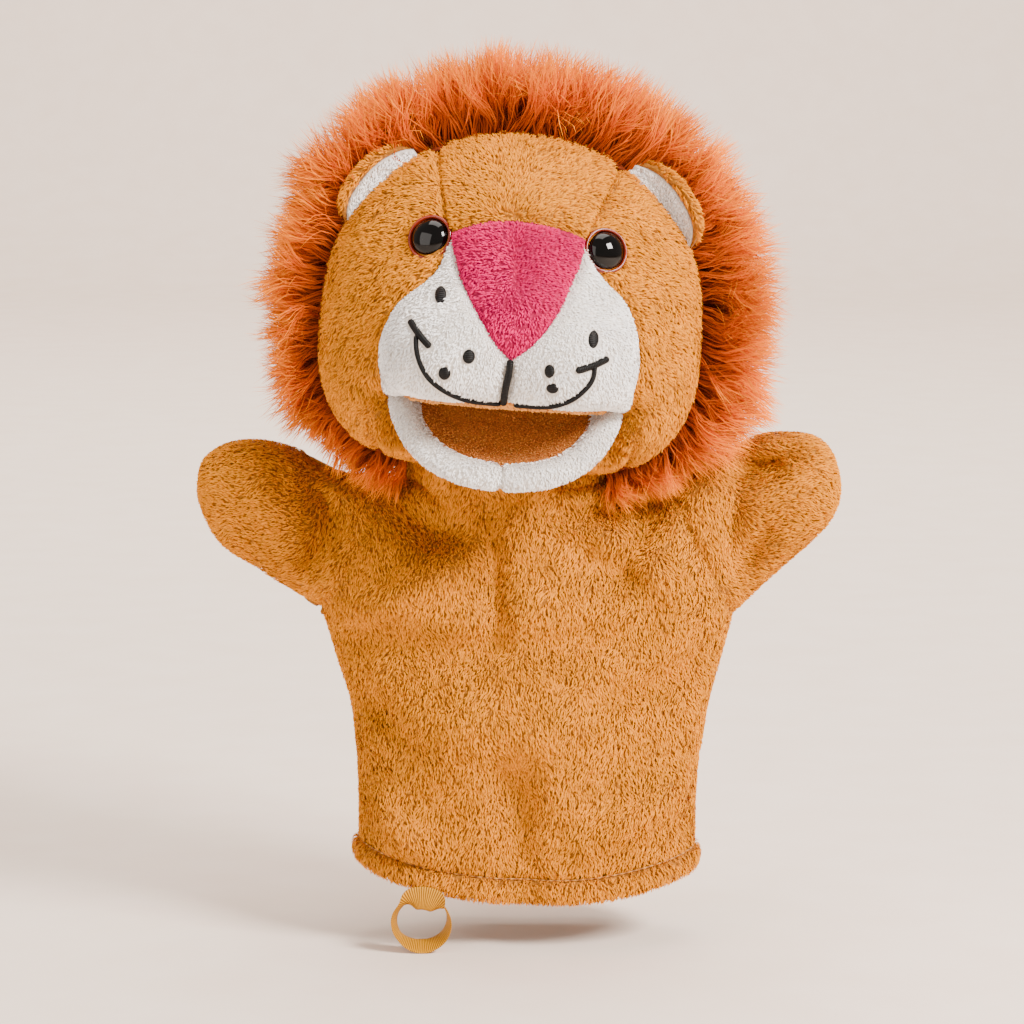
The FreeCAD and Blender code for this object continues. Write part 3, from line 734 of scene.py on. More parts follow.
# ---------------------------------------------------------------- the glove's shape
# the front view's outline, x and z, from the hem up each side
SIDE_LEFT = [(-50.8, 23), (-51.1, 35), (-51.7, 41), (-53.0, 53), (-56.7, 65), (-60.4, 77.4)]
SIDE_RIGHT = [(50.4, 23), (51.2, 35), (52.2, 41), (54.2, 53), (57.4, 65), (60.6, 77)]
ARM_LEFT = [(-61.8, 81.6), (-68, 85.5), (-75, 89.4), (-81.6, 94), (-90, 99), (-94.8, 105), (-98.6, 115),
            (-97.4, 124.5), (-93.4, 128.6), (-87, 131), (-78, 131), (-68.7, 128.4), (-62, 125),
            (-56.4, 122.4), (-50, 121), (-41, 120)]
ARM_RIGHT = [(61.6, 79.6), (64, 82.5), (68.4, 86.7), (75.6, 93.3), (87.3, 104), (92.2, 111.3), (93.2, 119),
             (90.6, 128.0), (85.2, 132.6), (75.6, 133.6), (66.6, 132.0), (60, 129.0), (51, 126.4), (42, 124)]
RAGLAN_LEFT = [(-61.8, 81.6), (-54.5, 91.5), (-49.5, 103.8), (-44.5, 113), (-41, 120)]
RAGLAN_RIGHT = [(61.6, 79.6), (53.4, 95), (47.3, 107.5), (44, 117), (42, 124)]
NECK_LINE = [(-41, 120), (-32, 121.5), (-20, 122), (-5, 121.5), (10, 122), (26, 122.5), (42, 124)]
HEM_LOW, HEM_RISE, HEM_HALF = -4.6, 8.6, 52.0  # the hem hangs lowest at the middle of the front
HEM_TALL, HEM_THICK = 6.2, 2.6
SEAM_ROUND = 4.5                               # this far in from a side seam the glove is full depth
FOLD_RISE = 1.9                                # the folds stand out by this much of their listed height
FRONT_DEEP, BACK_DEEP = 28.0, 27.0
ARM_PUFF = 2.1                                 # how much fuller than the body the arms are for their width
GRID = 1.4

# creases and ridges of the front: points (x, z), height (above or below the cloth) and half-width
FRONT_FOLDS = [
    ([(-11, 118), (-10, 98), (-9, 72)], -3.4, 5.5),
    ([(-59, 80), (-38, 88), (-14, 101)], 3.4, 7.0),
    ([(-42, 119), (-30, 108), (-15, 104)], -3.8, 6.5),
    ([(-57, 74), (-20, 72), (33, 77)], -3.0, 8.0),
    ([(40, 121), (34, 106), (24, 92)], -5.0, 6.0),
    ([(43, 116), (20, 112), (4, 113)], -4.0, 5.0),
    ([(12, 114), (32, 100), (50, 84)], 3.0, 7.0),
    ([(58, 74), (40, 62), (20, 56)], -3.0, 7.0),
    ([(52, 35), (36, 24), (19, 14)], 3.0, 7.0),
    ([(-54, 36), (-42, 20), (-29, 8)], 3.0, 7.0),
    ([(-6, 42), (-3, 24), (-2, 4)], -3.2, 8.0),
    ([(20, 52), (0, 46), (-30, 50)], 2.2, 10.0),
    ([(-57, 60), (-44, 52), (-34, 40)], -2.2, 6.0),
    ([(-66, 126), (-60, 116), (-56, 102)], -3.0, 5.0),
    ([(-66, 92), (-62, 100), (-60, 108)], -3.0, 5.0),
    ([(-84, 126), (-76, 116), (-72, 104)], 2.0, 7.0),
    ([(56, 127), (66, 125), (76, 129)], -6.5, 6.5),
    ([(74, 108), (68, 102), (62, 92)], -2.6, 5.0),
    ([(62, 121), (60, 108), (60, 94)], -2.2, 4.5),
]
BACK_FOLDS = [
    ([(-58, 80), (-36, 92), (-16, 106)], 3.0, 7.0),
    ([(58, 80), (38, 94), (18, 108)], 2.8, 7.0),
    ([(-50, 70), (0, 66), (50, 72)], -3.0, 9.0),
    ([(4, 114), (6, 90), (2, 60)], -2.6, 7.0),
    ([(-40, 40), (-20, 24), (-16, 4)], 2.6, 8.0),
    ([(42, 44), (26, 26), (20, 6)], 2.4, 8.0),
    ([(-64, 124), (-60, 112), (-58, 98)], -2.8, 5.0),
    ([(64, 124), (60, 112), (60, 96)], -2.8, 5.0),
]


def hem_z(x):
    """The height of the hem's lower edge at the front."""
    return HEM_LOW + HEM_RISE * np.clip((np.asarray(x, float) - 3) / HEM_HALF, -1.1, 1.1) ** 2


def hem_line(count=40):
    """Where the panels meet the hem band, left to right."""
    x = np.linspace(-50.9, 50.3, count)
    return np.stack([x, hem_z(x) + HEM_TALL - 0.6], axis=1)


def glove_outline():
    """The whole glove seen from the front, neck left open."""
    left = through(SIDE_LEFT + ARM_LEFT, 5)
    right = through(SIDE_RIGHT + ARM_RIGHT, 5)
    return np.vstack([hem_line()[::-1], left, through(NECK_LINE, 5)[1:-1], right[::-1]])


def glove_depths(outline):
    """How deep the glove is over a grid of the front view: a soft cloth tube blown out evenly."""
    low = np.array([-104.0, -22.0])
    across, up = int(208 / GRID), int(158 / GRID)
    x = low[0] + GRID * np.arange(across)
    z = low[1] + GRID * np.arange(up)
    spots = np.stack(np.meshgrid(x, z, indexing="ij"), axis=2).reshape(-1, 2)
    longer = outline.copy()
    foot = longer[:, 1] < 12
    longer[foot, 1] = -40
    neck = within(spots, np.array([(-29, 110), (-27, 150), (18, 150), (20, 110)], float))
    inside = (within(spots, longer) | neck).reshape(across, up)
    spots_x = np.abs(spots[:, 0]).reshape(across, up)
    source = 1 + (ARM_PUFF - 1) * eased((spots_x - 56) / 18)
    height = np.zeros((across, up))
    odd = (np.add.outer(np.arange(across), np.arange(up)) % 2).astype(bool)
    for step in range(700):
        for half in (odd, ~odd):
            around = np.zeros_like(height)
            around[1:-1, 1:-1] = (height[2:, 1:-1] + height[:-2, 1:-1] + height[1:-1, 2:] + height[1:-1, :-2]
                                  + source[1:-1, 1:-1] * GRID ** 2) / 4
            fresh = height + 1.93 * (around - height)
            height = np.where(inside & half, fresh, height)
        height[:, 0] = height[:, 1]
        height[:, -1] = height[:, -2]
    return low, height


def look_up(grid, low, points):
    """Values between the points of a grid."""
    at = (points - low) / GRID
    cell = np.clip(np.floor(at).astype(int), 0, np.array(grid.shape) - 2)
    part = np.clip(at - cell, 0, 1)
    i, j = cell[:, 0], cell[:, 1]
    u, v = part[:, 0], part[:, 1]
    return ((grid[i, j] * (1 - u) + grid[i + 1, j] * u) * (1 - v)
            + (grid[i, j + 1] * (1 - u) + grid[i + 1, j + 1] * u) * v)


GLOVE = {}


def glove_ready():
    """Works out the glove's shape once."""
    if not GLOVE:
        outline = glove_outline()
        low, height = glove_depths(outline)
        left = np.vstack([[(-50.9, -40)], hem_line()[:1], through(SIDE_LEFT + ARM_LEFT, 5)])
        right = np.vstack([[(50.3, -40)], hem_line()[-1:], through(SIDE_RIGHT + ARM_RIGHT, 5)])
        GLOVE.update(low=low, height=height, left=left, right=right,
                     top=look_up(height, low, np.array([[0.0, 40.0]]))[0])
    return GLOVE


def depth_at(points, back=False):
    """How far the cloth stands out from the glove's middle plane at (x, z)."""
    shape = glove_ready()
    rim = np.minimum(near_line(points, shape["left"])[0], near_line(points, shape["right"])[0])
    found = np.maximum(look_up(shape["height"], shape["low"], points), 0)
    # next to the side seams the blown-out shape is worked out from a place a little further in,
    # and falls from there to the seam
    arm = eased((np.abs(points[:, 0]) - 62) / 8)[:, None]
    heart = (1 - arm) * np.stack([np.zeros(len(points)), points[:, 1]], axis=1) + arm * np.stack(
        [np.clip(points[:, 0], -80, 80), np.full(len(points), 112.0)], axis=1)
    inward = unit(heart - points)
    step_in = (SEAM_ROUND - np.minimum(rim, SEAM_ROUND))[:, None]
    deeper = np.maximum(look_up(shape["height"], shape["low"], points + inward * step_in), 0)
    found = np.where(rim < SEAM_ROUND, deeper * rim / SEAM_ROUND, found)
    depth = (BACK_DEEP if back else FRONT_DEEP) * np.sqrt(found / shape["top"])
    rise = np.zeros(len(points))
    for line, height, width in (BACK_FOLDS if back else FRONT_FOLDS):
        gap, along = near_line(points, through(line, 6))
        fade = np.sqrt(np.sin(math.pi * np.clip(along, 0.04, 0.96)))
        rise += FOLD_RISE * height * np.exp(-(gap / width) ** 2 * 1.6) * fade
    flat = np.stack([points[:, 0], np.full(len(points), 300.0 if back else 0.0), points[:, 1]], axis=1)
    rise += 1.7 * lattice(flat, 19.0, 11) + 0.7 * lattice(flat, 9.0, 12)
    return np.maximum(depth + rise * eased(rim / 9), 0.0) + 0.02 * rim


def glove_panel(outline, back, seams, step=1.9, seam=1.4):
    """A panel of the glove from its outline in the front view. seams are its sewn edges, sides apart."""
    flat, triangles, edge = fill(outline, step, (0.12, 0.45, 1.0, 1.9, 3.2))
    shape = glove_ready()
    side = np.minimum(near_line(flat, shape["left"])[0], near_line(flat, shape["right"])[0])
    depth = depth_at(flat, back)
    sewn = np.min([near_line(flat, line)[0] for line in seams], axis=0)
    depth = depth - np.minimum(seam * (1 - eased(sewn / 3.2)), depth * 0.8)
    y = depth if back else -depth
    verts = np.stack([flat[:, 0], y, flat[:, 1]], axis=1)
    if back:
        triangles = triangles[:, ::-1]
    return verts, triangles, np.minimum(side + depth * 0.25, sewn)


def glove_comb(root, out):
    """The glove's pile lies down, and towards the tips on the arms."""
    arm = eased((np.abs(root[:, 0]) - 48) / 26)[:, None]
    tipward = np.stack([np.sign(root[:, 0]) * 0.9, np.zeros(len(root)), np.full(len(root), -0.15)], axis=1)
    return (1 - arm) * np.array([0.0, 0.0, -1.0]) + arm * tipward


def arm_hold():
    """Gives a hold that bakes a piece's placement into its points and leaves it on no body."""

    def hold(made):
        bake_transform(made)

    return hold


# ---------------------------------------------------------------- smaller parts of the head
# embroidery: (line of (x, z) points, width)
SMILE_LEFT = [(-26.4, -7.6), (-25.6, -13.0), (-22.2, -18.9), (-16.2, -22.9), (-8.8, -25.0), (-1.5, -25.4)]
SMILE_RIGHT = [(23.6, -11.6), (23.2, -16.2), (19.8, -20.7), (15.7, -23.4), (10.0, -25.0), (2.0, -25.4)]
BAR_LEFT = [(-28.6, -4.0), (-25.8, -7.2), (-22.2, -10.4)]
BAR_RIGHT = [(18.4, -13.8), (23.0, -12.2), (27.4, -10.0)]
PHILTRUM = [(0.2, -12.0), (0.0, -16.5), (-0.6, -21.0), (-0.8, -25.4)]
DOTS_LEFT = [(-20.6, 3.6, 1.6, 2.3), (-11.4, -12.0, 1.7, 2.0), (-17.8, -17.2, 1.7, 1.9)]
DOTS_RIGHT = [(22.8, -5.0, 1.5, 2.4), (11.2, -14.4, 1.4, 1.9), (12.4, -19.2, 1.7, 1.5)]
SMILE_WIDE, LINE_WIDE, THREAD_TALL = 1.35, 1.9, 0.9
STITCH_LIFT = 0.5
EYE_AT = [(-25.0, 18.6), (25.0, 18.6)]
EYE_LOOK = [(-0.36, -0.87, 0.30), (0.36, -0.87, 0.30)]
EYE_DOME, EYE_RIM = 5.5, 6.6


def ribbon_mesh(path, out, half, tall, around=10):
    """A raised band along a path on a surface: a flattened tube.

    Returns its points, its faces and how far along it each point is."""
    path = np.array(path, float)
    along = unit(np.gradient(path, axis=0))
    out = unit(out - along * (out * along).sum(1)[:, None])
    side = np.cross(along, out)
    length = np.concatenate([[0], np.cumsum(np.linalg.norm(np.diff(path, axis=0), axis=1))])
    taper = np.clip(np.minimum(length, length[-1] - length) / half, 0, 1)
    half = half * np.sqrt(1 - (1 - taper) ** 2) + 0.05
    turn = np.linspace(0, 2 * math.pi, around, endpoint=False)
    rise = tall * (0.35 + 0.65 * np.sqrt(taper))
    ring = (side[:, None] * np.cos(turn)[None, :, None] * half[:, None, None]
            + out[:, None] * np.sin(turn)[None, :, None] * rise[:, None, None])
    verts = (path[:, None] + ring).reshape(-1, 3)
    faces = ring_faces(len(path), around) + end_caps(len(path), around)
    return verts, faces, np.repeat(length, around)


def head_normals(flat):
    """Outward normals of the head's surface at points of the flat pattern, in the puppet's frame."""
    nudge = 0.3
    a = on_head(flat)
    b = on_head(flat + np.array([nudge, 0]))
    c = on_head(flat + np.array([0, nudge]))
    out = unit(np.cross(b - a, c - a))
    out = np.where(((a - MIDDLE) * out).sum(1)[:, None] < 0, -out, out)
    return out @ TURN.T


def stitched(line, half):
    """The mesh of one line of satin stitch on the muzzle."""
    flat = spaced(through(facing(line), 8), 0.35)
    return ribbon_mesh(from_head(on_head(flat, STITCH_LIFT)), head_normals(flat), half, THREAD_TALL)


def dot_mesh(x, z, half_x, half_z):
    """The mesh of one whisker dot: a small oval cushion of thread."""
    rings, around = 5, 22
    spots = []
    for k in range(rings, 0, -1):
        turn = np.linspace(0, 2 * math.pi, around, endpoint=False)
        size = k / rings
        spots.append(np.stack([x + half_x * size * np.cos(turn), z + half_z * size * np.sin(turn)], axis=1))
    spots = np.vstack(spots + [[(x, z)]])
    lift = np.concatenate([[0.0] * around] + [[THREAD_TALL * math.sqrt(1 - (k / rings) ** 2)] * around
                                              for k in range(rings - 1, 0, -1)] + [[THREAD_TALL]])
    flat = facing(spots)
    top = on_head(flat, STITCH_LIFT + lift)
    foot = on_head(flat[:around], STITCH_LIFT - 0.8)
    verts = from_head(np.vstack([top, foot]))
    last, low = rings * around, rings * around + 1
    faces = [(a, d, c, b) for a, b, c, d in ring_faces(rings, around)]
    for i in range(around):
        j = (i + 1) % around
        faces.append(((rings - 1) * around + i, (rings - 1) * around + j, last))
        faces.append((low + i, low + j, j, i))
    faces.append(tuple(low + i for i in reversed(range(around))))
    along = np.concatenate([spots[:, 1], spots[:around, 1]])
    return verts, faces, along


def several(parts):
    """Several meshes (points, faces, values) as one."""
    verts, faces, values, base = [], [], [], 0
    for v, f, a in parts:
        verts.append(v)
        faces += [tuple(i + base for i in face) for face in f]
        values.append(a)
        base += len(v)
    return np.vstack(verts), faces, np.concatenate(values)


def lathe(profile, middle, axis, around=48):
    """A turned shape: (radius, height) points from the bottom up, closed on the axis at both ends."""
    axis = unit(np.array(axis, float))
    side = unit(np.cross(axis, (0.0, 0.0, 1.0) if abs(axis[2]) < 0.9 else (1.0, 0.0, 0.0)))
    over = np.cross(axis, side)
    turn = np.linspace(0, 2 * math.pi, around, endpoint=False)
    ring = side * np.cos(turn)[:, None] + over * np.sin(turn)[:, None]
    middle = np.array(middle, float)
    inner = profile[1:-1]
    verts = [middle + axis * profile[0][1]]
    for radius, height in inner:
        verts += list(middle + ring * radius + axis * height)
    verts.append(middle + axis * profile[-1][1])
    faces = []
    for i in range(around):
        j = (i + 1) % around
        faces.append((0, 1 + j, 1 + i))
        for k in range(len(inner) - 1):
            a = 1 + k * around
            faces.append((a + i, a + j, a + around + j, a + around + i))
        a = 1 + (len(inner) - 1) * around
        faces.append((a + i, a + j, len(verts) - 1))
    return np.array(verts), faces


def ring_mesh(profile, middle, axis, around=48):
    """A turned ring: a closed profile of (radius, height) points swept round an axis."""
    axis = unit(np.array(axis, float))
    side = unit(np.cross(axis, (0.0, 0.0, 1.0)))
    over = np.cross(axis, side)
    verts = []
    for i in range(around):
        turn = 2 * math.pi * i / around
        ray = side * math.cos(turn) + over * math.sin(turn)
        verts += [np.array(middle) + ray * radius + axis * height for radius, height in profile]
    return np.array(verts), [(a, d, c, b) for a, b, c, d in ring_faces(around, len(profile), True)]


# each ear's fold, against the head, and its outer rim, (x, y, z) in the head's frame from top to bottom
EAR_FOLD = [(-29.0, -13.0, 41.0), (-37.5, -14.0, 32.5), (-43.8, -14.0, 24.0), (-47.6, -12.0, 16.0)]
EAR_RIM = [(-34.5, -15.5, 45.5), (-45.0, -20.0, 37.0), (-51.2, -19.5, 27.0), (-52.0, -14.5, 18.0)]
EAR_THICK, EAR_INSET = 3.6, 0.7
EAR_GROW = {"left": 0.96, "right": 1.06}


def ear_surface(side, across, deep=0.0):
    """The ear's front face: a dished flap from its fold (across 0) to its rim (1), pushed back by deep."""
    grow, mirror = EAR_GROW[side], -1.0 if side == "right" else 1.0
    fold, rim = spaced(through(EAR_FOLD, 8), 1.2), spaced(through(EAR_RIM, 8), 1.2)
    steps = 26
    at = np.linspace(0, 1, steps)
    fold = np.stack([np.interp(at, np.linspace(0, 1, len(fold)), fold[:, k]) for k in range(3)], axis=1)
    rim = np.stack([np.interp(at, np.linspace(0, 1, len(rim)), rim[:, k]) for k in range(3)], axis=1)
    reach = np.sqrt(np.clip(1 - (2 * at - 1) ** 4, 0.05, 1))[:, None]
    out = unit(rim - fold)
    tip = fold + (rim - fold) * reach * grow
    along = unit(np.gradient(fold, axis=0))
    back = unit(np.cross(along, out))
    back = back * np.sign(back[:, 1])[:, None]
    rows = []
    for t in across:
        dish = 2.4 * math.sin(math.pi * t) * reach
        rows.append(fold + (tip - fold) * t + back * (dish + deep))
    made = np.array(rows)
    made[..., 0] *= mirror
    return made, back * np.array([mirror, 1, 1]), reach


def ear_meshes(side):
    """The tan outer of an ear, a rolled flap, and the white lining laid in it."""
    across = np.linspace(0, 1, 12)
    front, back, _ = ear_surface(side, across)
    n, m = front.shape[:2]
    round_off = np.sqrt(np.clip(1 - ((across - 0.82) / 0.18).clip(0, 1) ** 2, 0, 1))
    ends = np.sqrt(np.clip(1 - (2 * np.linspace(0, 1, m) - 1) ** 8, 0, 1))
    half = EAR_THICK / 2 * (0.25 + 0.75 * round_off)[:, None, None] * (0.3 + 0.7 * ends)[None, :, None]
    middle = front + back[None] * EAR_THICK / 2
    verts = np.vstack([(middle - back[None] * half).reshape(-1, 3),
                       (middle + back[None] * half).reshape(-1, 3)])
    triangles = grid_triangles(n, m)
    loop = (list(range(m)) + [i * m + m - 1 for i in range(1, n)]
            + [(n - 1) * m + j for j in range(m - 2, -1, -1)] + [i * m for i in range(n - 2, 0, -1)])
    walls = []
    for a, b in zip(loop, loop[1:] + loop[:1]):
        walls += [(b, a, a + n * m), (b, a + n * m, b + n * m)]
    outer = np.vstack([triangles, triangles[:, ::-1] + n * m, np.array(walls)])
    lining, _, _ = ear_surface(side, np.linspace(0.02, EAR_INSET, 9), -0.8)
    lining = lining[:, 1:-1]
    grid = grid_triangles(*lining.shape[:2])
    outer_verts, lining = from_head(verts), from_head(lining.reshape(-1, 3))
    forward = np.array([0.0, -1.0, 0.0])
    front_only = np.repeat([1.0, 0.0], n * m)[:, None]
    return ((outer_verts, faced(outer_verts, outer, forward * front_only)),
            (lining, faced(lining, grid, forward)))


# ---------------------------------------------------------------- the jaw
JAW_SLOPE = math.radians(40)
JAW_HALF, JAW_LONG, LIP_HALF = 29.4, 31.8, 3.9
JAW_AHEAD = np.array([0.0, -math.cos(JAW_SLOPE), -math.sin(JAW_SLOPE)])
JAW_UP = np.array([0.0, -math.sin(JAW_SLOPE), math.cos(JAW_SLOPE)])


def jaw_at(x, ahead, up=0.0):
    """A place on the jaw, in the puppet's frame: across, along its slope from the hinge, up off its floor."""
    x, ahead, up = np.broadcast_arrays(np.asarray(x, float), ahead, up)
    local = HINGE + np.stack([x, np.zeros_like(x), np.zeros_like(x)], axis=-1)
    local = local + ahead[..., None] * JAW_AHEAD + up[..., None] * JAW_UP
    return from_head(local.reshape(-1, 3)).reshape(local.shape)


def lip_line(side):
    """The middle of the lip roll from the mouth's corner to the chin."""
    turn = np.linspace(0, 1, 40) * math.pi / 2
    sign = -1.0 if side == "left" else 1.0
    power = 0.86
    x = sign * JAW_HALF * np.cos(turn) ** power
    return x, JAW_LONG * np.sin(turn) ** 0.94 - 0.5


# ---------------------------------------------------------------- the mane
HOOD = (57.0, 47.0, 51.0)
HOOD_LIFT = 0.9                                # how far the hood lies off the head
MANE_LONG = 24.5
MANE_PART = 0.52                               # how far back the front patches of the mane reach, of 1


def hood_points(turn, lift):
    """Points of the hood behind the face: turn is the angle round it, lift 0 in front to 1 behind."""
    turn, tilt = np.broadcast_arrays(turn, np.radians(-9 + 99 * lift))
    way = np.stack([HOOD[0] * np.cos(turn) * np.cos(tilt), HOOD[1] * np.sin(tilt),
                    HOOD[2] * np.sin(turn) * np.cos(tilt)], axis=-1)
    way = unit(way.reshape(-1, 3))
    return (MIDDLE + way * (ray_length(way) + HOOD_LIFT)[:, None]).reshape(*turn.shape, 3)


def hood_patch(start, end, lift_from, lift_to, step=3.0):
    """A patch of the hood between two angles: its points in the head's frame and its triangles."""
    a = np.radians(np.linspace(start, end, max(int(abs(end - start) / 360 * 370 / step), 4)))
    b = np.linspace(lift_from, lift_to, max(int((lift_to - lift_from) * 80 / step), 4))
    verts = hood_points(a[:, None], b[None, :])
    triangles = grid_triangles(*verts.shape[:2])
    verts = verts.reshape(-1, 3)
    return verts, faced(verts, triangles, verts)


def mane_hair(name, verts, triangles, count, material):
    """Long curled strands that grow out round the face and lie back and down behind the head."""
    rng = dice(name)
    a, b, c = (verts[triangles[:, k]] for k in range(3))
    area = np.linalg.norm(np.cross(b - a, c - a), axis=1) / 2
    middle = (a + b + c) / 3
    weight = area * (1 + 1.3 * np.exp(-((middle[:, 1] + 3) / 9) ** 2))
    pick = rng.choice(len(triangles), count, p=weight / weight.sum())
    u, v = rng.random(count), rng.random(count)
    over = u + v > 1
    u[over], v[over] = 1 - u[over], 1 - v[over]
    root = a[pick] * (1 - u - v)[:, None] + b[pick] * u[:, None] + c[pick] * v[:, None]
    out = unit(root / np.array(HOOD) ** 2)
    clump = 3.4
    cell = np.floor(root / clump + 0.35 * np.stack([lattice(root, 4.0, k) for k in (21, 22, 23)], axis=1))
    centre = (cell + 0.5) * clump
    key = (cell.astype(int) @ np.array([73856093, 19349663, 83492791])) % 5003
    each = np.random.default_rng(77).normal(0, 1, (5003, 4))[key]
    radial = unit(root * np.array([1.0, 0.0, 1.0]))
    behind = eased((root[:, 1] + 6) / 34)[:, None]
    low = eased((-root[:, 2] - 5) / 35)[:, None]
    fringe = radial * 1.0 + np.array([0, -0.10, 0]) + out * 0.12
    fringe = fringe + low * np.array([0, -0.05, -0.35])
    lying = out * 0.42 + np.array([0.0, 0.1, -0.85])
    start = unit(fringe * (1 - behind) + (out * 0.9 + radial * 0.35) * behind)
    finish = unit(fringe * (1 - behind) + lying * behind + np.array([0, 0, -0.16]))
    bend = each[:, :3] * 0.42 + rng.normal(0, 0.26, (count, 3))
    size = MANE_LONG * (1 + 0.12 * each[:, 3] + rng.normal(0, 0.09, count))
    size = size * (1 - 0.24 * eased((-root[:, 0] - 30) / 20) * (root[:, 2] < 25))
    size = np.clip(size, 13, 29) * (1 - 0.12 * behind[:, 0])
    size = size * (1 - 0.42 * eased((-root[:, 2] - 26) / 14))
    steps, knots = 6, []
    here = root - out * 0.6
    side = unit(np.cross(start, out) + 1e-3)
    for k in range(steps):
        t = k / (steps - 1)
        knots.append(here)
        heading = unit(start * (1 - t) + finish * t + bend * (0.35 + 0.9 * t)
                       + side * (0.45 * np.sin(5.6 * t + each[:, 3] * 3))[:, None])
        here = here + heading * (size / (steps - 1))[:, None]
    pull = (centre - root) - out * ((centre - root) * out).sum(1)[:, None]
    half = rng.uniform(0.13, 0.22, count)
    facing_way = unit(np.cross(start, rng.normal(0, 1, (count, 3))))
    made = []
    for k, at in enumerate(knots):
        t = k / (steps - 1)
        at = at + pull * (0.75 * t)
        if k < steps - 1:
            wide = facing_way * (half * (1 - 0.45 * t))[:, None]
            made += [at - wide, at + wide]
        else:
            made.append(at)
    per = 2 * (steps - 1) + 1
    made = from_head(np.stack(made, axis=1).reshape(-1, 3))
    base = np.arange(count)[:, None] * per
    faces = []
    for k in range(steps - 2):
        faces += (base + np.array([2 * k, 2 * k + 1, 2 * k + 3, 2 * k + 2])).tolist()
    faces += (base + np.array([per - 3, per - 2, per - 1])).tolist()
    height = np.tile(np.repeat(np.linspace(0, 1, steps), 2)[:per], count)
    tint = np.repeat(np.clip(0.5 + 0.22 * each[:, 0] + rng.normal(0, 0.2, count), 0, 1), per)
    return piece(name, made, faces, material, {"height": height, "tint": tint})


# ---------------------------------------------------------------- operators
class PuppetSettings(bpy.types.PropertyGroup):
    """Sizes of the finishes that can be tried without touching the shapes."""
    mane_strands: bpy.props.IntProperty(
        name="Mane strands", description="How many strands the whole mane has", default=52000, min=1000)
    floor_height: bpy.props.FloatProperty(
        name="Floor height", description="Height of the floor under the loop", default=-0.0197,
        unit="LENGTH", subtype="DISTANCE")
    lamp_power: bpy.props.FloatProperty(
        name="Lamp power", description="Power of the main soft lamp", default=6.2, min=0.0, unit="POWER")


class PUPPET_OT_body(bpy.types.Operator):
    """The glove body's front and back panels"""
    bl_idname = "puppet.body"
    bl_label = "Body"

    def execute(self, context):
        left, right = through(RAGLAN_LEFT, 6), through(RAGLAN_RIGHT, 6)
        outline = np.vstack([hem_line()[::-1], through(SIDE_LEFT + [RAGLAN_LEFT[0]], 5)[:-1], left,
                             through(NECK_LINE, 5)[1:-1], right[::-1],
                             through(SIDE_RIGHT + [RAGLAN_RIGHT[0]], 5)[:-1][::-1]])
        seams = [left, right, hem_line()]
        for name, back in (("front", False), ("back", True)):
            verts, triangles, edge = glove_panel(outline, back, seams)
            made = cloth("torso_" + name, verts, triangles, edge, "tan", "glove", ["torso_" + name],
                         PILE_TAN, comb=glove_comb)
        return {"FINISHED"}


class PUPPET_OT_hem(bpy.types.Operator):
    """The rolled hem, its line of stitches and the loop's tab"""
    bl_idname = "puppet.hem"
    bl_label = "Hem"

    def execute(self, context):
        line = spaced(hem_line(60), 1.6)
        front, back = depth_at(line), depth_at(line, True)
        path = np.vstack([np.stack([line[:, 0], -front, line[:, 1]], axis=1),
                          np.stack([line[:, 0], back, line[:, 1]], axis=1)[::-1][1:-1]])
        rise = eased(path[:, 1] / 20) * 2.2
        path[:, 2] += rise
        path = spaced(through(spaced(path, 4.0, closed=True), 4, closed=True), 1.2, closed=True)
        n, around = len(path), 18
        along = unit(np.roll(path, -1, axis=0) - np.roll(path, 1, axis=0))
        out = unit(np.cross(along, [0.0, 0.0, 1.0]))
        out = np.where(((path * [1, 1, 0]) * out).sum(1)[:, None] < 0, -out, out)
        wave = 0.35 * lattice(path, 9.0, 31)
        turn = np.linspace(0, 2 * math.pi, around, endpoint=False)
        swell = HEM_THICK / 2 * np.cos(turn)[None] + 0.2 + wave[:, None]
        drop = HEM_TALL / 2 * np.sin(turn) - HEM_TALL / 2 + 0.4
        rows = path[:, None] + out[:, None] * swell[..., None] + np.array([0, 0, 1.0]) * drop[None, :, None]
        verts = rows.reshape(-1, 3)
        outer_side = np.zeros_like(verts)
        outer_side[::around] = out
        triangles = faced(verts, split(ring_faces(n, around, True)), outer_side)
        band = piece("hem_band", verts, triangles, MATERIALS["tan_back"])
        hair = pile("hem_band_pile", verts, triangles, down_comb, PILE_TAN, MATERIALS["tan"])
        thread = path + out * 0.5 + np.array([0, 0, 0.75])
        stitch_verts, stitch_faces = tube(spaced(thread, 1.0, closed=True), 0.35, 6, closed=True)
        count = len(stitch_verts) // 6
        stitches = piece("hem_stitch", stitch_verts, stitch_faces, MATERIALS["stitch"],
                         {"along": np.repeat(np.arange(count) * 1.0, 6)})
        low, high = (np.array(corner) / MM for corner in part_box("loop_tab"))
        middle = (low + high) / 2
        ground = depth_at(np.array([[middle[0], 6.0]]))[0]
        tab_path = np.array([(middle[0] + 0.4, -ground + 2.6, z) for z in np.linspace(-3.4, 6.0, 12)])
        tab_verts, tab_faces, tab_along = ribbon_mesh(tab_path, np.tile([0.0, -1.0, 0.0], (12, 1)),
                                                      np.full(12, 3.4), 0.45)
        tab = piece("loop_tab", tab_verts, tab_faces, MATERIALS["ribbon"], {"along": tab_along})
        for made, node, slot in ((band, "hem_band", "plush_tan"), (stitches, "hem_stitch", "thread_tan"),
                                 (tab, "loop_tab", "ribbon_gold")):
            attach(made, "glove")
            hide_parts(node)
        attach(hair, "glove")
        return {"FINISHED"}


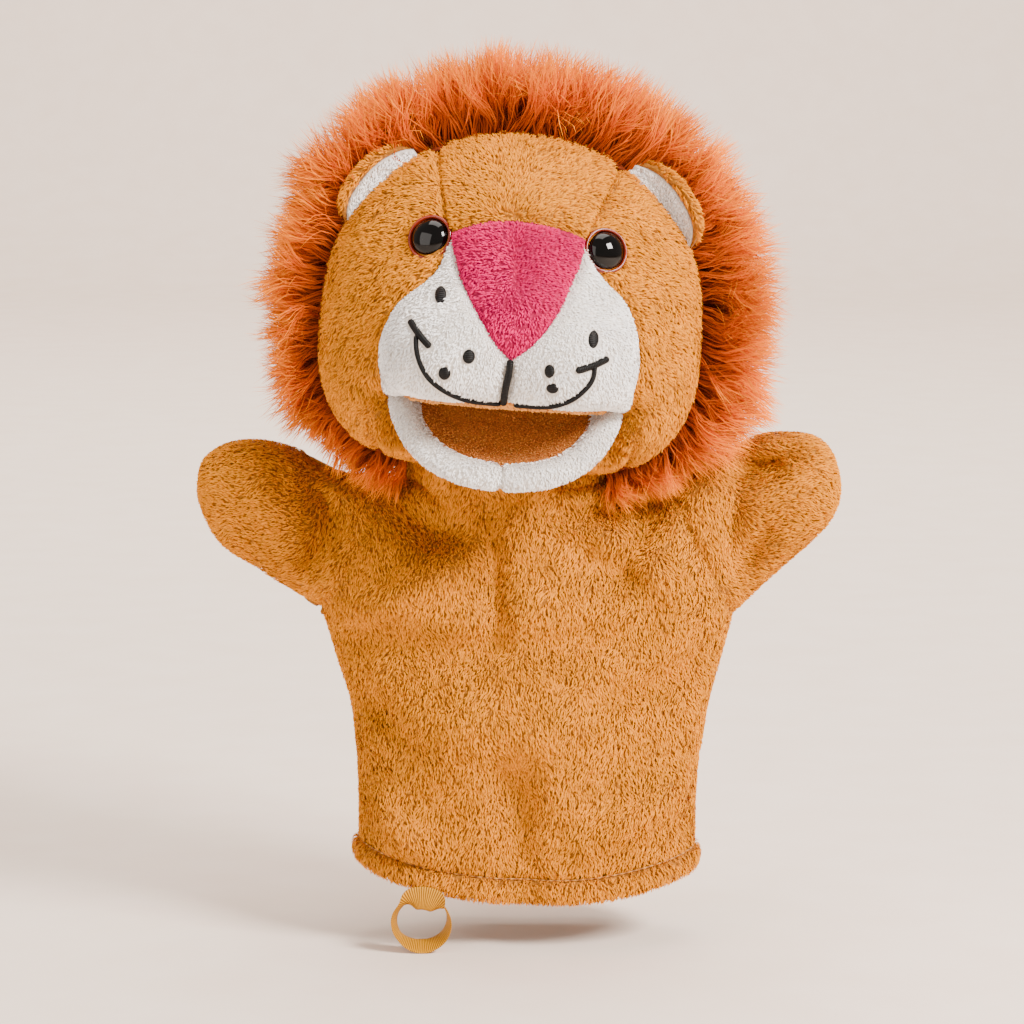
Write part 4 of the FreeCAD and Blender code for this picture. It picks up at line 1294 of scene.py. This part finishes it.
class PUPPET_OT_arms(bpy.types.Operator):
    """Both arms, front and back, from the raglan seams"""
    bl_idname = "puppet.arms"
    bl_label = "Arms"

    def execute(self, context):
        for side, arm, raglan in (("left", ARM_LEFT, RAGLAN_LEFT), ("right", ARM_RIGHT, RAGLAN_RIGHT)):
            seam = through(raglan, 6)
            outline = np.vstack([through(arm, 5)[:-1], seam[::-1][:-1]])
            for name, back in (("front", False), ("back", True)):
                verts, triangles, edge = glove_panel(outline, back, [seam])
                node = "arm_" + name + "_" + side
                nodes = [node] + (["shoulder_fold_" + side] if name == "front" else [])
                made = cloth(node, verts, triangles, edge, "tan", None, nodes, PILE_TAN,
                             comb=glove_comb, hold=arm_hold())
        return {"FINISHED"}


class PUPPET_OT_neck(bpy.types.Operator):
    """The neck sleeve between the body and the head"""
    bl_idname = "puppet.neck"
    bl_label = "Neck"

    def execute(self, context):
        low, high = (np.array(corner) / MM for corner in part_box("neck_sleeve"))
        middle = (low + high) / 2
        around, rows = 72, []
        turn = np.linspace(0, 2 * math.pi, around, endpoint=False)
        heights = np.linspace(low[2] + 1, high[2] + 6, 12)
        for k, z in enumerate(heights):
            radius = 22.5 + 3.5 * eased(k / 11) + 0.7 * np.cos(9 * turn + k * 0.2)
            rows.append(np.stack([middle[0] + (radius + 9) * np.cos(turn), middle[1] + radius * np.sin(turn),
                                  np.full(around, z)], axis=1))
        verts, triangles = np.vstack(rows), grid_triangles(len(heights), around, True)

        def hold(made):
            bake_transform(made)

        cloth("neck_sleeve", verts, triangles, np.full(len(verts), 9.0), "tan", None, ["neck_sleeve"],
              PILE_TAN, comb=down_comb, hold=hold)
        return {"FINISHED"}


class PUPPET_OT_face(bpy.types.Operator):
    """The head's sewn panels: cheeks, forehead, nose, muzzle, palate, throat and back"""
    bl_idname = "puppet.face"
    bl_label = "Face"

    def execute(self, context):
        patterns = face_patterns()
        lines = [(from_head(on_head(facing(through(np.array(line), 4)))), 1.5)
                 for line in (SMILE_LEFT, SMILE_RIGHT, BAR_LEFT, BAR_RIGHT, PHILTRUM)]
        lines += [(from_head(on_head(facing([(x, z - 0.4), (x, z + 0.4)]))), max(a, b) + 0.2)
                  for x, z, a, b in DOTS_LEFT + DOTS_RIGHT]
        eyes = []
        for (x, z), look in zip(EYE_AT, EYE_LOOK):
            spot = from_head(on_head(facing([(x, z)])))
            eyes.append((np.vstack([spot, spot + 0.1]), EYE_RIM - 0.6))
        for name, finish, slot, kind, fat, nodes, clear in (
                ("side_left", "tan", "plush_tan", PILE_TAN, 0.6, ["face_side_left"], eyes),
                ("side_right", "tan", "plush_tan", PILE_TAN, 0.6, ["face_side_right"], eyes),
                ("gusset", "tan", "plush_tan", PILE_TAN, 0.4, ["forehead_gusset"], None),
                ("nose", "magenta", "plush_magenta", PILE_NOSE, 1.0, ["nose_panel"], None),
                ("muzzle_left", "white", "plush_white", PILE_WHITE, 0.5, ["muzzle_left", "muzzle_stuffing"],
                 lines + eyes),
                ("muzzle_right", "white", "plush_white", PILE_WHITE, 0.5, ["muzzle_right"], lines + eyes),
                ("palate", "mouth", "mouth_plush", PILE_MOUTH, 3.5, ["mouth_palate"], None),
                ("throat", "tan", "plush_tan", PILE_TAN, 0.0, ["throat_panel"], None)):
            verts, triangles, edge = head_panel(patterns[name], fat=fat)
            made = cloth(nodes[0], verts, triangles, edge, finish, "head", nodes, kind, clear=clear)
        skin, grid = hood_patch(0, 360, 0.0, 1.0, 4.0)
        back = MIDDLE + (skin - MIDDLE) * 0.96
        shell_verts, faces = shell(from_head(back), grid, normals_of(from_head(back), grid), 1.2)
        made = piece("head_back", shell_verts, faces, MATERIALS["mane_back"])
        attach(made, "head")
        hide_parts("head_back", "head_stuffing")
        return {"FINISHED"}


class PUPPET_OT_pocket(bpy.types.Operator):
    """The knitted finger pocket up inside the head"""
    bl_idname = "puppet.pocket"
    bl_label = "Finger pocket"

    def execute(self, context):
        low, high = (np.array(corner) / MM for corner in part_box("finger_pocket"))
        middle, tall = (low + high) / 2, high[2] - low[2]
        radius = (high[0] - low[0]) / 2
        outside = [(radius + 0.25 * math.sin(z * 0.9), z) for z in np.linspace(0, tall - 3, 16)]
        dome = [(radius * math.cos(t), tall - 3 + 3 * math.sin(t)) for t in np.linspace(0.2, 1.4, 6)]
        inside = [(max(r - 1.2, 0.5), min(z, tall - 1.2)) for r, z in reversed(outside + dome)]
        profile = [(0, tall - 1.4)] + inside + outside + dome + [(0, tall)]
        verts, faces = lathe(profile, (middle[0], middle[1], low[2]), (0, 0, 1))
        made = piece("finger_pocket", verts, faces, MATERIALS["lining"])
        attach(made, "head")
        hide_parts("finger_pocket")
        return {"FINISHED"}


class PUPPET_OT_eyes(bpy.types.Operator):
    """The safety eyes: black domes in amber rims, washers inside"""
    bl_idname = "puppet.eyes"
    bl_label = "Eyes"

    def execute(self, context):
        for side, spot, look in (("left", EYE_AT[0], EYE_LOOK[0]), ("right", EYE_AT[1], EYE_LOOK[1])):
            axis = unit(np.array(look)) @ TURN.T
            seat = from_head(on_head(facing([spot])))[0] - axis * 0.9
            turn = np.linspace(0, math.pi / 2, 14)
            dome = [(0, -1.0), (EYE_DOME, -1.0)] + [(EYE_DOME * math.cos(t), 0.9 + 3.4 * math.sin(t))
                                                   for t in turn[:-1]] + [(0, 4.3)]
            rim = [(EYE_DOME + 0.12 + 0.55 + (EYE_RIM - EYE_DOME) / 2 * math.cos(t) * 1.1,
                    0.9 + 1.05 * math.sin(t))
                   for t in np.linspace(0, 2 * math.pi, 12, endpoint=False)]
            for label, (verts, faces), finish, slot in (
                    ("eye_dome_", lathe(dome, seat, axis), "eye", "eye_black"),
                    ("eye_rim_", ring_mesh(rim, seat, axis), "rim", "eye_amber")):
                made = piece(label + side, verts, faces, MATERIALS[finish])
                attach(made, "head")
                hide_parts(label + side)
            washer = frame["nodes"]["eye_washer_" + side]
            washer.data.materials.clear()
            washer.data.materials.append(MATERIALS["washer"])
        return {"FINISHED"}


class PUPPET_OT_embroidery(bpy.types.Operator):
    """The smile, its end bars, the line under the nose and the whisker dots"""
    bl_idname = "puppet.embroidery"
    bl_label = "Embroidery"

    def execute(self, context):
        parts = {
            "smile_left": [stitched(SMILE_LEFT, SMILE_WIDE / 2), stitched(BAR_LEFT, LINE_WIDE / 2)],
            "smile_right": [stitched(SMILE_RIGHT, SMILE_WIDE / 2), stitched(BAR_RIGHT, LINE_WIDE / 2)],
            "philtrum": [stitched(PHILTRUM, LINE_WIDE / 2)],
            "whisker_dots_left": [dot_mesh(*dot) for dot in DOTS_LEFT],
            "whisker_dots_right": [dot_mesh(*dot) for dot in DOTS_RIGHT],
        }
        for name, meshes in parts.items():
            verts, faces, along = several(meshes)
            made = piece(name, verts, faces, MATERIALS["thread"], {"along": along})
            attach(made, "head")
            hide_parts(name)
        return {"FINISHED"}


class PUPPET_OT_ears(bpy.types.Operator):
    """The folded ears, tan behind and white inside"""
    bl_idname = "puppet.ears"
    bl_label = "Ears"

    def execute(self, context):
        for side in ("left", "right"):
            (outer, outer_faces), (lining, grid) = ear_meshes(side)
            made = piece("ear_outer_" + side, outer, outer_faces, MATERIALS["tan_back"])
            rows = lining.reshape(9, -1, 3)
            hair = pile("ear_outer_" + side + "_pile", outer, outer_faces, face_comb, PILE_TAN,
                        MATERIALS["tan"], clear=[(row, 1.7) for row in rows])
            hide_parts("ear_outer_" + side)
            for each in (made, hair):
                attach(each, "head")
            cloth("ear_inner_" + side, lining, grid, np.full(len(lining), 9.0), "white", "head",
                  ["ear_inner_" + side], PILE_WHITE, depth=0.8)
        return {"FINISHED"}


class PUPPET_OT_jaw(bpy.types.Operator):
    """The hinged jaw: white lip roll, brown floor, and the cloth under it"""
    bl_idname = "puppet.jaw"
    bl_label = "Jaw"

    def execute(self, context):
        for side in ("left", "right"):
            x, ahead = lip_line(side)
            path = jaw_at(x, ahead, np.full(len(x), -1.2))
            path = np.vstack([path[:1] + (path[:1] - path[1:2]) * 0.1, path])
            size = LIP_HALF * (1.16 - 0.16 * eased(np.linspace(0, 1, len(path)) / 0.3))
            size = size * (1 - 0.28 * eased((np.linspace(0, 1, len(path)) - 0.975) / 0.025))
            verts, faces = tube(path, size, 20, flat=0.86, up=TURN @ JAW_UP)
            triangles = faced(verts, split(faces), verts - np.repeat(path, 20, axis=0))
            made = piece("jaw_lip_" + side, verts, triangles, MATERIALS["white_back"])
            hair = pile("jaw_lip_" + side + "_pile", verts, triangles, face_comb, PILE_WHITE,
                        MATERIALS["white"])
            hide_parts("jaw_lip_" + side)
            for each in (made, hair):
                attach(each, "jaw")
        left, right = lip_line("left"), lip_line("right")
        rim = np.vstack([np.stack(left, axis=1), np.stack(right, axis=1)[::-1][1:]])
        rim = np.vstack([rim, [(20, -2.5), (-20, -2.5)]])
        for name, level, sag, finish, slot, kind, under in (
                ("mouth_floor", 0.2, -2.6, "mouth", "mouth_plush", PILE_MOUTH, False),
                ("jaw_underside", -3.2, -3.0, "tan", "plush_tan", PILE_TAN, True)):
            flat, triangles, edge = fill(rim * 0.97, 1.6)
            verts = jaw_at(flat[:, 0], flat[:, 1], level + sag * eased(edge / 12))
            triangles = faced(verts, triangles, TURN @ JAW_UP)
            if under:
                triangles = triangles[:, ::-1]
            nodes = [name] + (["jaw_stuffing"] if name == "mouth_floor" else [])
            cloth(name, verts, triangles, edge, finish, "jaw", nodes, kind, depth=1.0)
        return {"FINISHED"}


class PUPPET_OT_mane(bpy.types.Operator):
    """The mane: a backing hood with long strands all round the face and down the back"""
    bl_idname = "puppet.mane"
    bl_label = "Mane"

    def execute(self, context):
        settings = context.scene.puppet
        patches = {
            "mane_right": (-58, 45, 0.0, MANE_PART), "mane_crown": (45, 135, 0.0, MANE_PART),
            "mane_left": (135, 241, 0.0, MANE_PART), "mane_nape": (-52, 308, MANE_PART, 1.0),
        }
        share = {"mane_right": 0.24, "mane_crown": 0.24, "mane_left": 0.24, "mane_nape": 0.28}
        for name, (start, end, lift_from, lift_to) in patches.items():
            verts, triangles = hood_patch(start, end, lift_from, lift_to)
            placed = from_head(verts)
            shell_verts, faces = shell(placed, triangles, normals_of(placed, triangles), 1.4)
            base = piece(name, shell_verts, faces, MATERIALS["mane_back"])
            hair = mane_hair(name + "_hair", verts, triangles, int(settings.mane_strands * share[name]),
                             MATERIALS["mane"])
            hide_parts(name)
            for made in (base, hair):
                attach(made, "head")
        return {"FINISHED"}


class PUPPET_OT_loop(bpy.types.Operator):
    """The twisted loop of gold ribbon under the hem"""
    bl_idname = "puppet.loop"
    bl_label = "Hang loop"

    def execute(self, context):
        low, high = (np.array(corner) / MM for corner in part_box("hang_loop"))
        middle = (low + high) / 2
        front = np.array([0.0, -1.0, 0.0])
        turn = np.radians(np.linspace(36, 404, 120))
        radial = np.stack([np.cos(turn), np.zeros(len(turn)), np.sin(turn)], axis=1)
        line = np.array([middle[0] - 0.8, middle[1] - 1.6, -10.6]) + radial * np.array([8.2, 1.0, 7.6])
        line[:, 1] += np.interp(np.degrees(turn), [36, 110, 180, 404], [-1.6, -1.0, 0.4, 1.2])
        flat = np.exp(-((np.degrees(turn) - 82) / 40) ** 4)[:, None]
        lean = np.interp(np.degrees(turn), [36, 150, 215, 270, 330, 404],
                         [0.2, 0.3, 0.14, 0.46, 0.3, 0.1])[:, None]
        wide = unit(radial * (lean + flat) + front * (1 - flat))
        out = np.cross(unit(np.gradient(line, axis=0)), wide)
        verts, faces, values = ribbon_mesh(line, out, np.full(len(line), 3.5), 0.35, 14)
        made = piece("hang_loop", verts, faces, MATERIALS["ribbon"], {"along": values})
        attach(made, "hang_loop")
        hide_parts("hang_loop")
        return {"FINISHED"}


PAPER_OUT, PAPER_BACK, PAPER_BEND, PAPER_TALL = 6500.0, 2400.0, 500.0, 3000.0   # the backdrop


class PUPPET_OT_stage(bpy.types.Operator):
    """The pale floor and backdrop, the soft lamps and the camera"""
    bl_idname = "puppet.stage"
    bl_label = "Stage"

    def execute(self, context):
        settings = context.scene.puppet
        floor = settings.floor_height / MM
        bend = [(-PAPER_OUT, floor), (PAPER_BACK, floor)] + [
            (PAPER_BACK + PAPER_BEND * math.sin(t), floor + PAPER_BEND - PAPER_BEND * math.cos(t))
            for t in np.linspace(0.1, math.pi / 2, 14)]
        bend.append((PAPER_BACK + PAPER_BEND, floor + PAPER_TALL))
        verts = [(x, y, z) for y, z in bend for x in (-PAPER_OUT, PAPER_OUT)]
        faces = [(2 * k, 2 * k + 1, 2 * k + 3, 2 * k + 2) for k in range(len(bend) - 1)]
        paper = piece("studio_paper", verts, faces, MATERIALS["stage"])
        middle = (0.0, 0.0, 0.11)
        for name, at, to, size, share in (("lamp_key", (0.8, -0.65, 0.85), middle, 0.4, 6.4),
                                          ("lamp_fill", (-0.8, -0.75, 0.45), middle, 0.9, 1.4),
                                          ("lamp_top", (0.05, 0.1, 1.1), middle, 0.7, 1.6),
                                          ("lamp_paper", (0.0, 1.3, 1.7), (0.0, 2.6, 0.4), 2.0, 12)):
            lamp = bpy.data.lights.new(name, "AREA")
            lamp.size, lamp.energy = size, settings.lamp_power * share
            lamp.color = linear("FFF6EE")[:3]
            made = bpy.data.objects.new(name, lamp)
            made.location = at
            made.rotation_euler = (Vector(to) - Vector(at)).to_track_quat("-Z", "Y").to_euler()
            bpy.context.scene.collection.objects.link(made)
        world = bpy.data.worlds.new("soft_room")
        world.use_nodes = True
        world.node_tree.nodes["Background"].inputs["Color"].default_value = linear("F6E8DC")
        world.node_tree.nodes["Background"].inputs["Strength"].default_value = 0.62
        bpy.context.scene.world = world
        lens = bpy.data.cameras.new("front_view")
        lens.lens, lens.sensor_width = 128.9, 36.0
        camera = bpy.data.objects.new("front_view", lens)
        aim, rise, far = Vector((-0.0048, 0, 0.1098)), math.radians(8), 1.1
        camera.location = aim + Vector((0, -math.cos(rise), math.sin(rise))) * far
        camera.rotation_euler = (aim - camera.location).to_track_quat("-Z", "Y").to_euler()
        bpy.context.scene.collection.objects.link(camera)
        bpy.context.scene.camera = camera
        return {"FINISHED"}


STEPS = (PUPPET_OT_body, PUPPET_OT_hem, PUPPET_OT_arms, PUPPET_OT_neck, PUPPET_OT_face, PUPPET_OT_pocket,
         PUPPET_OT_eyes, PUPPET_OT_embroidery, PUPPET_OT_ears, PUPPET_OT_jaw, PUPPET_OT_mane, PUPPET_OT_loop,
         PUPPET_OT_stage)


class PUPPET_PT_panel(bpy.types.Panel):
    """The puppet's pieces in the sidebar"""
    bl_idname = "PUPPET_PT_panel"
    bl_label = "Lion Hand Puppet"
    bl_space_type = "VIEW_3D"
    bl_region_type = "UI"
    bl_category = "Puppet"

    def draw(self, context):
        settings = context.scene.puppet
        for name in ("mane_strands", "floor_height", "lamp_power"):
            self.layout.prop(settings, name)
        for step in STEPS:
            self.layout.operator(step.bl_idname)


def register():
    """Adds the settings, the operators and the panel."""
    for each in (PuppetSettings, *STEPS, PUPPET_PT_panel):
        bpy.utils.register_class(each)
    bpy.types.Scene.puppet = bpy.props.PointerProperty(type=PuppetSettings)


def unregister():
    """Takes them away again."""
    del bpy.types.Scene.puppet
    for each in (PUPPET_PT_panel, *reversed(STEPS), PuppetSettings):
        bpy.utils.unregister_class(each)


def main():
    """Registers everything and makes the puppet."""
    register()
    MATERIALS.update(make_materials())
    for step in STEPS:
        group, name = step.bl_idname.split(".")
        getattr(getattr(bpy.ops, group), name)()


if __name__ == "__main__":
    main()
